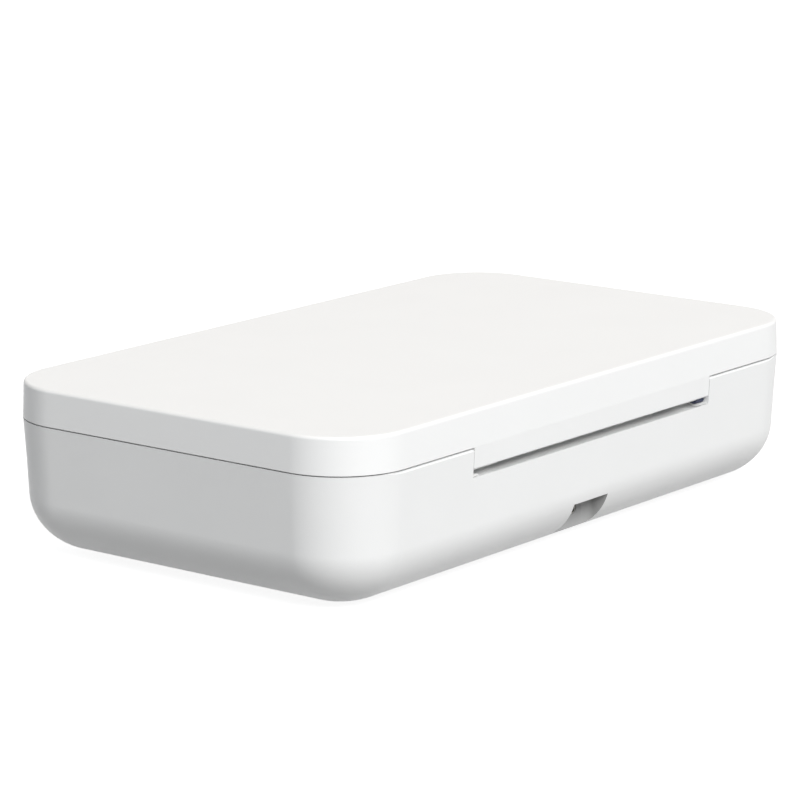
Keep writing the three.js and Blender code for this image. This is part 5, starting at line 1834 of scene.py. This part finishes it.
@dataclass
class ChargingSocket:
    """The charging socket at the back of its recess."""

    shell: float = 0.3
    shell_edge: float = 0.08
    tongue_half: float = 3.3
    tongue: float = 0.7
    tongue_length: float = 5.0
    tongue_edge: float = 0.15
    contact_count: int = 12
    contact_margin: float = 0.5
    contact_half: float = 0.12
    contact_thickness: float = 0.03
    contact_lift: float = 0.01
    contact_root: float = 1.0
    contact_tip: float = 0.4

    def build(self) -> None:
        """Model the metal shell, the tongue and its contacts."""
        low, high, middle, box_half = box_mm("usb_socket")
        wall, corner, z = self.shell, box_half.z, middle.z
        back, tip = low.y + wall, low.y + wall + self.tongue_length
        shell = pill(low, high, corner)
        room = (high.x - wall, high.y + 1, high.z - wall)
        near = (low.x + wall, back, low.z + wall)
        combine(shell, Joining.CUT, pill(near, room, corner - wall))
        soften(shell, self.shell_edge)
        publish(shell, "socket_shell", "base", Finish.SOCKET, "usb_socket")
        half, rise = self.tongue_half, self.tongue / 2
        tongue = new_block((-half, back, z - rise), (half, tip, z + rise))
        publish(soften(tongue, self.tongue_edge), "socket_tongue", "base", Finish.CHIP)
        contacts = []
        wide, thick = self.contact_half, self.contact_thickness
        start, end = back + self.contact_root, tip - self.contact_tip
        for x in spread(self.contact_count, half - self.contact_margin):
            for level in (z - rise - self.contact_lift, z + rise + self.contact_lift):
                strip = new_block((x - wide, start, level - thick), (x + wide, end, level + thick))
                contacts.append(strip)
        publish(gather(contacts), "socket_contacts", "base", Finish.PIN)


@dataclass
class FeetAndPads:
    """The rubber feet, the soft pads in the hinge trough and the bush by the left knuckle."""

    rim: float = 0.9
    dish: float = 0.12
    foot_edge: float = 0.3
    bush_edge: float = 0.06
    pad_edge: float = 0.12

    def build(self) -> None:
        """Model the four feet, the bush and the two pads."""
        for node in each("foot_"):
            publish(self.foot(box_mm(node)), node + "_pad", "base", Finish.FOOT, node)
        bush = soften(merged_copy("hinge_bush"), self.bush_edge, 1, 60.0)
        publish(bush, "friction_bush", "lid", Finish.BUSH, "hinge_bush")
        for side in SIDES:
            pad = soften(merged_copy("hinge_buffer_" + side), self.pad_edge)
            publish(pad, "stop_pad_" + side, "base", Finish.BUFFER, "hinge_buffer_" + side)

    def foot(self, box: Box) -> Object:
        """Model a round foot whose underside is dished a little inside its rim.

        Args:
            box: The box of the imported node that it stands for.

        Returns:
            The foot.
        """
        start = (box.middle.x, box.middle.y, box.low.z)
        foot = new_bar(box.half.x, Axis.Z, start, 2 * box.half.z, 64)
        with editing(foot, Part.FACE, lambda c, n: n.z < -SQUARE):
            bpy.ops.mesh.inset(thickness=self.rim, depth=0)
            bpy.ops.mesh.inset(thickness=self.dish, depth=-self.dish)
        return soften(foot, self.foot_edge, 3)


# The sealed inner pieces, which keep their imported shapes, by their finishes
WORKINGS = {
    Finish.LAMINATE: ("main_board", "switch_board"),
    Finish.CORE: ("lamp_transformer",),
    Finish.SLEEVE: ("smoothing_capacitor",),
    Finish.CHIP: ("control_chip", "tact_switch", "lid_sensor"),
    Finish.CONNECTOR: each("board_connector_", SIDES),
    Finish.INDICATOR: ("indicator_led",),
    Finish.PIN: each("hinge_pin_", SIDES),
    Finish.SCREW: each("board_screw_", "12") + each("case_screw_"),
    Finish.MAGNET: ["key_magnet", *each("base_magnet_", SIDES), *each("lid_magnet_", SIDES)],
    Finish.LEAD: ["hinge_lead", "lid_lead", *each("lower_lamp_lead_", SIDES)],
}


def dress_workings() -> None:
    """Give each sealed inner piece its finish."""
    for finish, nodes in WORKINGS.items():
        for node in nodes:
            dress_in(FRAME["nodes"][node], finish)
            LOG.info("%s keeps its packed shape", node)


@dataclass(frozen=True)
class SoftLamp:
    """A square soft lamp that looks at a point, in metres and watts."""

    name: str
    place: Point
    target: Point
    size: float
    power: float
    colour: Point = (1.0, 1.0, 1.0)
    in_gloss: bool = True

    def build(self) -> None:
        """Hang the lamp."""
        bpy.ops.object.light_add(type="AREA", location=self.place)
        lamp = bpy.context.object
        lamp.name = self.name
        lamp.data.shape = "SQUARE"
        lamp.data.size = self.size
        lamp.data.energy = self.power
        lamp.data.color = self.colour
        lamp.rotation_euler = look_at(self.place, self.target)
        lamp.visible_glossy = self.in_gloss


@dataclass
class Studio:
    """The camera of the photograph, a pale floor, soft lamps and a white world, in metres."""

    camera_place: Point = (0.82274, 0.63250, 0.26540)
    camera_target: Point = (0.007425, 0.0, 0.035288)
    lens: float = 161.14
    sensor: float = 36.0
    nearest: float = 0.01
    floor_half: float = 6.0
    floor_colour: str = "989898"
    floor_roughness: float = 0.9
    floor_specular: float = 0.1
    floor_glow: float = 0.9
    world_colour: tuple[float, float, float, float] = (0.86, 0.93, 1.0, 1.0)
    world_strength: float = 0.277
    middle: Point = (0, 0, 0.03)

    def build(self) -> None:
        """Set up everything that isn't the object."""
        self.build_camera()
        self.build_floor()
        self.build_world()
        warm, front = (1.0, 0.5, 0.0), (-2.25, -3.31, 0.42)
        SoftLamp("top_softbox", (-0.3, -0.2, 2.5), (0, 0, 0), 1.6, 4.2, warm).build()
        SoftLamp("rear_softbox", (2.61, 5.59, 5.12), self.middle, 3.6, 662.0).build()
        SoftLamp("front_softbox", front, self.middle, 0.8, 78.0, in_gloss=False).build()
        bpy.context.scene.view_settings.view_transform = "Standard"

    def build_camera(self) -> None:
        """Add the camera where the photograph was taken from."""
        bpy.ops.object.camera_add(location=self.camera_place)
        camera = bpy.context.object
        camera.name = "photo_camera"
        camera.data.lens = self.lens
        camera.data.sensor_width = self.sensor
        camera.data.clip_start = self.nearest
        camera.rotation_euler = look_at(self.camera_place, self.camera_target)
        bpy.context.scene.camera = camera

    def build_floor(self) -> None:
        """Add the pale floor, which glows for the camera and keeps the shadow."""
        bpy.ops.mesh.primitive_plane_add(size=2 * self.floor_half, location=(0, 0, 0))
        floor = bpy.context.object
        floor.name = "floor"
        dress = Dress("floor pale")
        looks = {
            "Base Color": linear_colour(self.floor_colour),
            "Roughness": self.floor_roughness,
            "Specular IOR Level": self.floor_specular,
        }
        dress.feed(dress.shader, looks)
        black, glow = (
            dress.add("ShaderNodeEmission", {"Strength": strength}).outputs["Emission"]
            for strength in (0.0, self.floor_glow)
        )
        shown = dress.add("ShaderNodeMixShader", {"Fac": dress.seen_rays(), 1: black, 2: glow})
        lit, shown = dress.shader.outputs["BSDF"], shown.outputs["Shader"]
        both = dress.add("ShaderNodeAddShader", {0: lit, 1: shown}).outputs["Shader"]
        dress.feed(dress.tree.nodes["Material Output"], {"Surface": both})
        floor.data.materials.append(dress.material)

    def build_world(self) -> None:
        """Light the object evenly, and show plain white behind it."""
        world = bpy.data.worlds.new("studio white")
        bpy.context.scene.world = world
        world.use_nodes = True
        wiring = Wiring(world.node_tree)
        light = wiring.tree.nodes["Background"]
        wiring.feed(light, {"Color": self.world_colour, "Strength": self.world_strength})
        white = wiring.add("ShaderNodeBackground", {"Color": (1, 1, 1, 1), "Strength": 1.0})
        lit, white = light.outputs["Background"], white.outputs["Background"]
        mix = wiring.add("ShaderNodeMixShader", {"Fac": wiring.seen_rays(), 1: lit, 2: white})
        wiring.feed(wiring.tree.nodes["World Output"], {"Surface": mix.outputs["Shader"]})


def main() -> None:
    """Build the studio and every sub-assembly."""
    logging.basicConfig(level=logging.INFO, format="%(name)s %(message)s")
    FRAME.update(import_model())
    bpy.ops.object.select_all(action="DESELECT")
    Studio().build()
    form, mouth = CaseForm(), ChamberForm()
    hinge = HingeLine(form)
    BaseHousing(form, hinge).build()
    LidHousing(form, hinge).build()
    Chamber(form, hinge, mouth).build()
    LidInside(form, hinge, mouth).build()
    Lamps().build()
    WireWork().build()
    FrontControls().build()
    ChargingSocket().build()
    FeetAndPads().build()
    dress_workings()


if __name__ == "__main__":
    main()
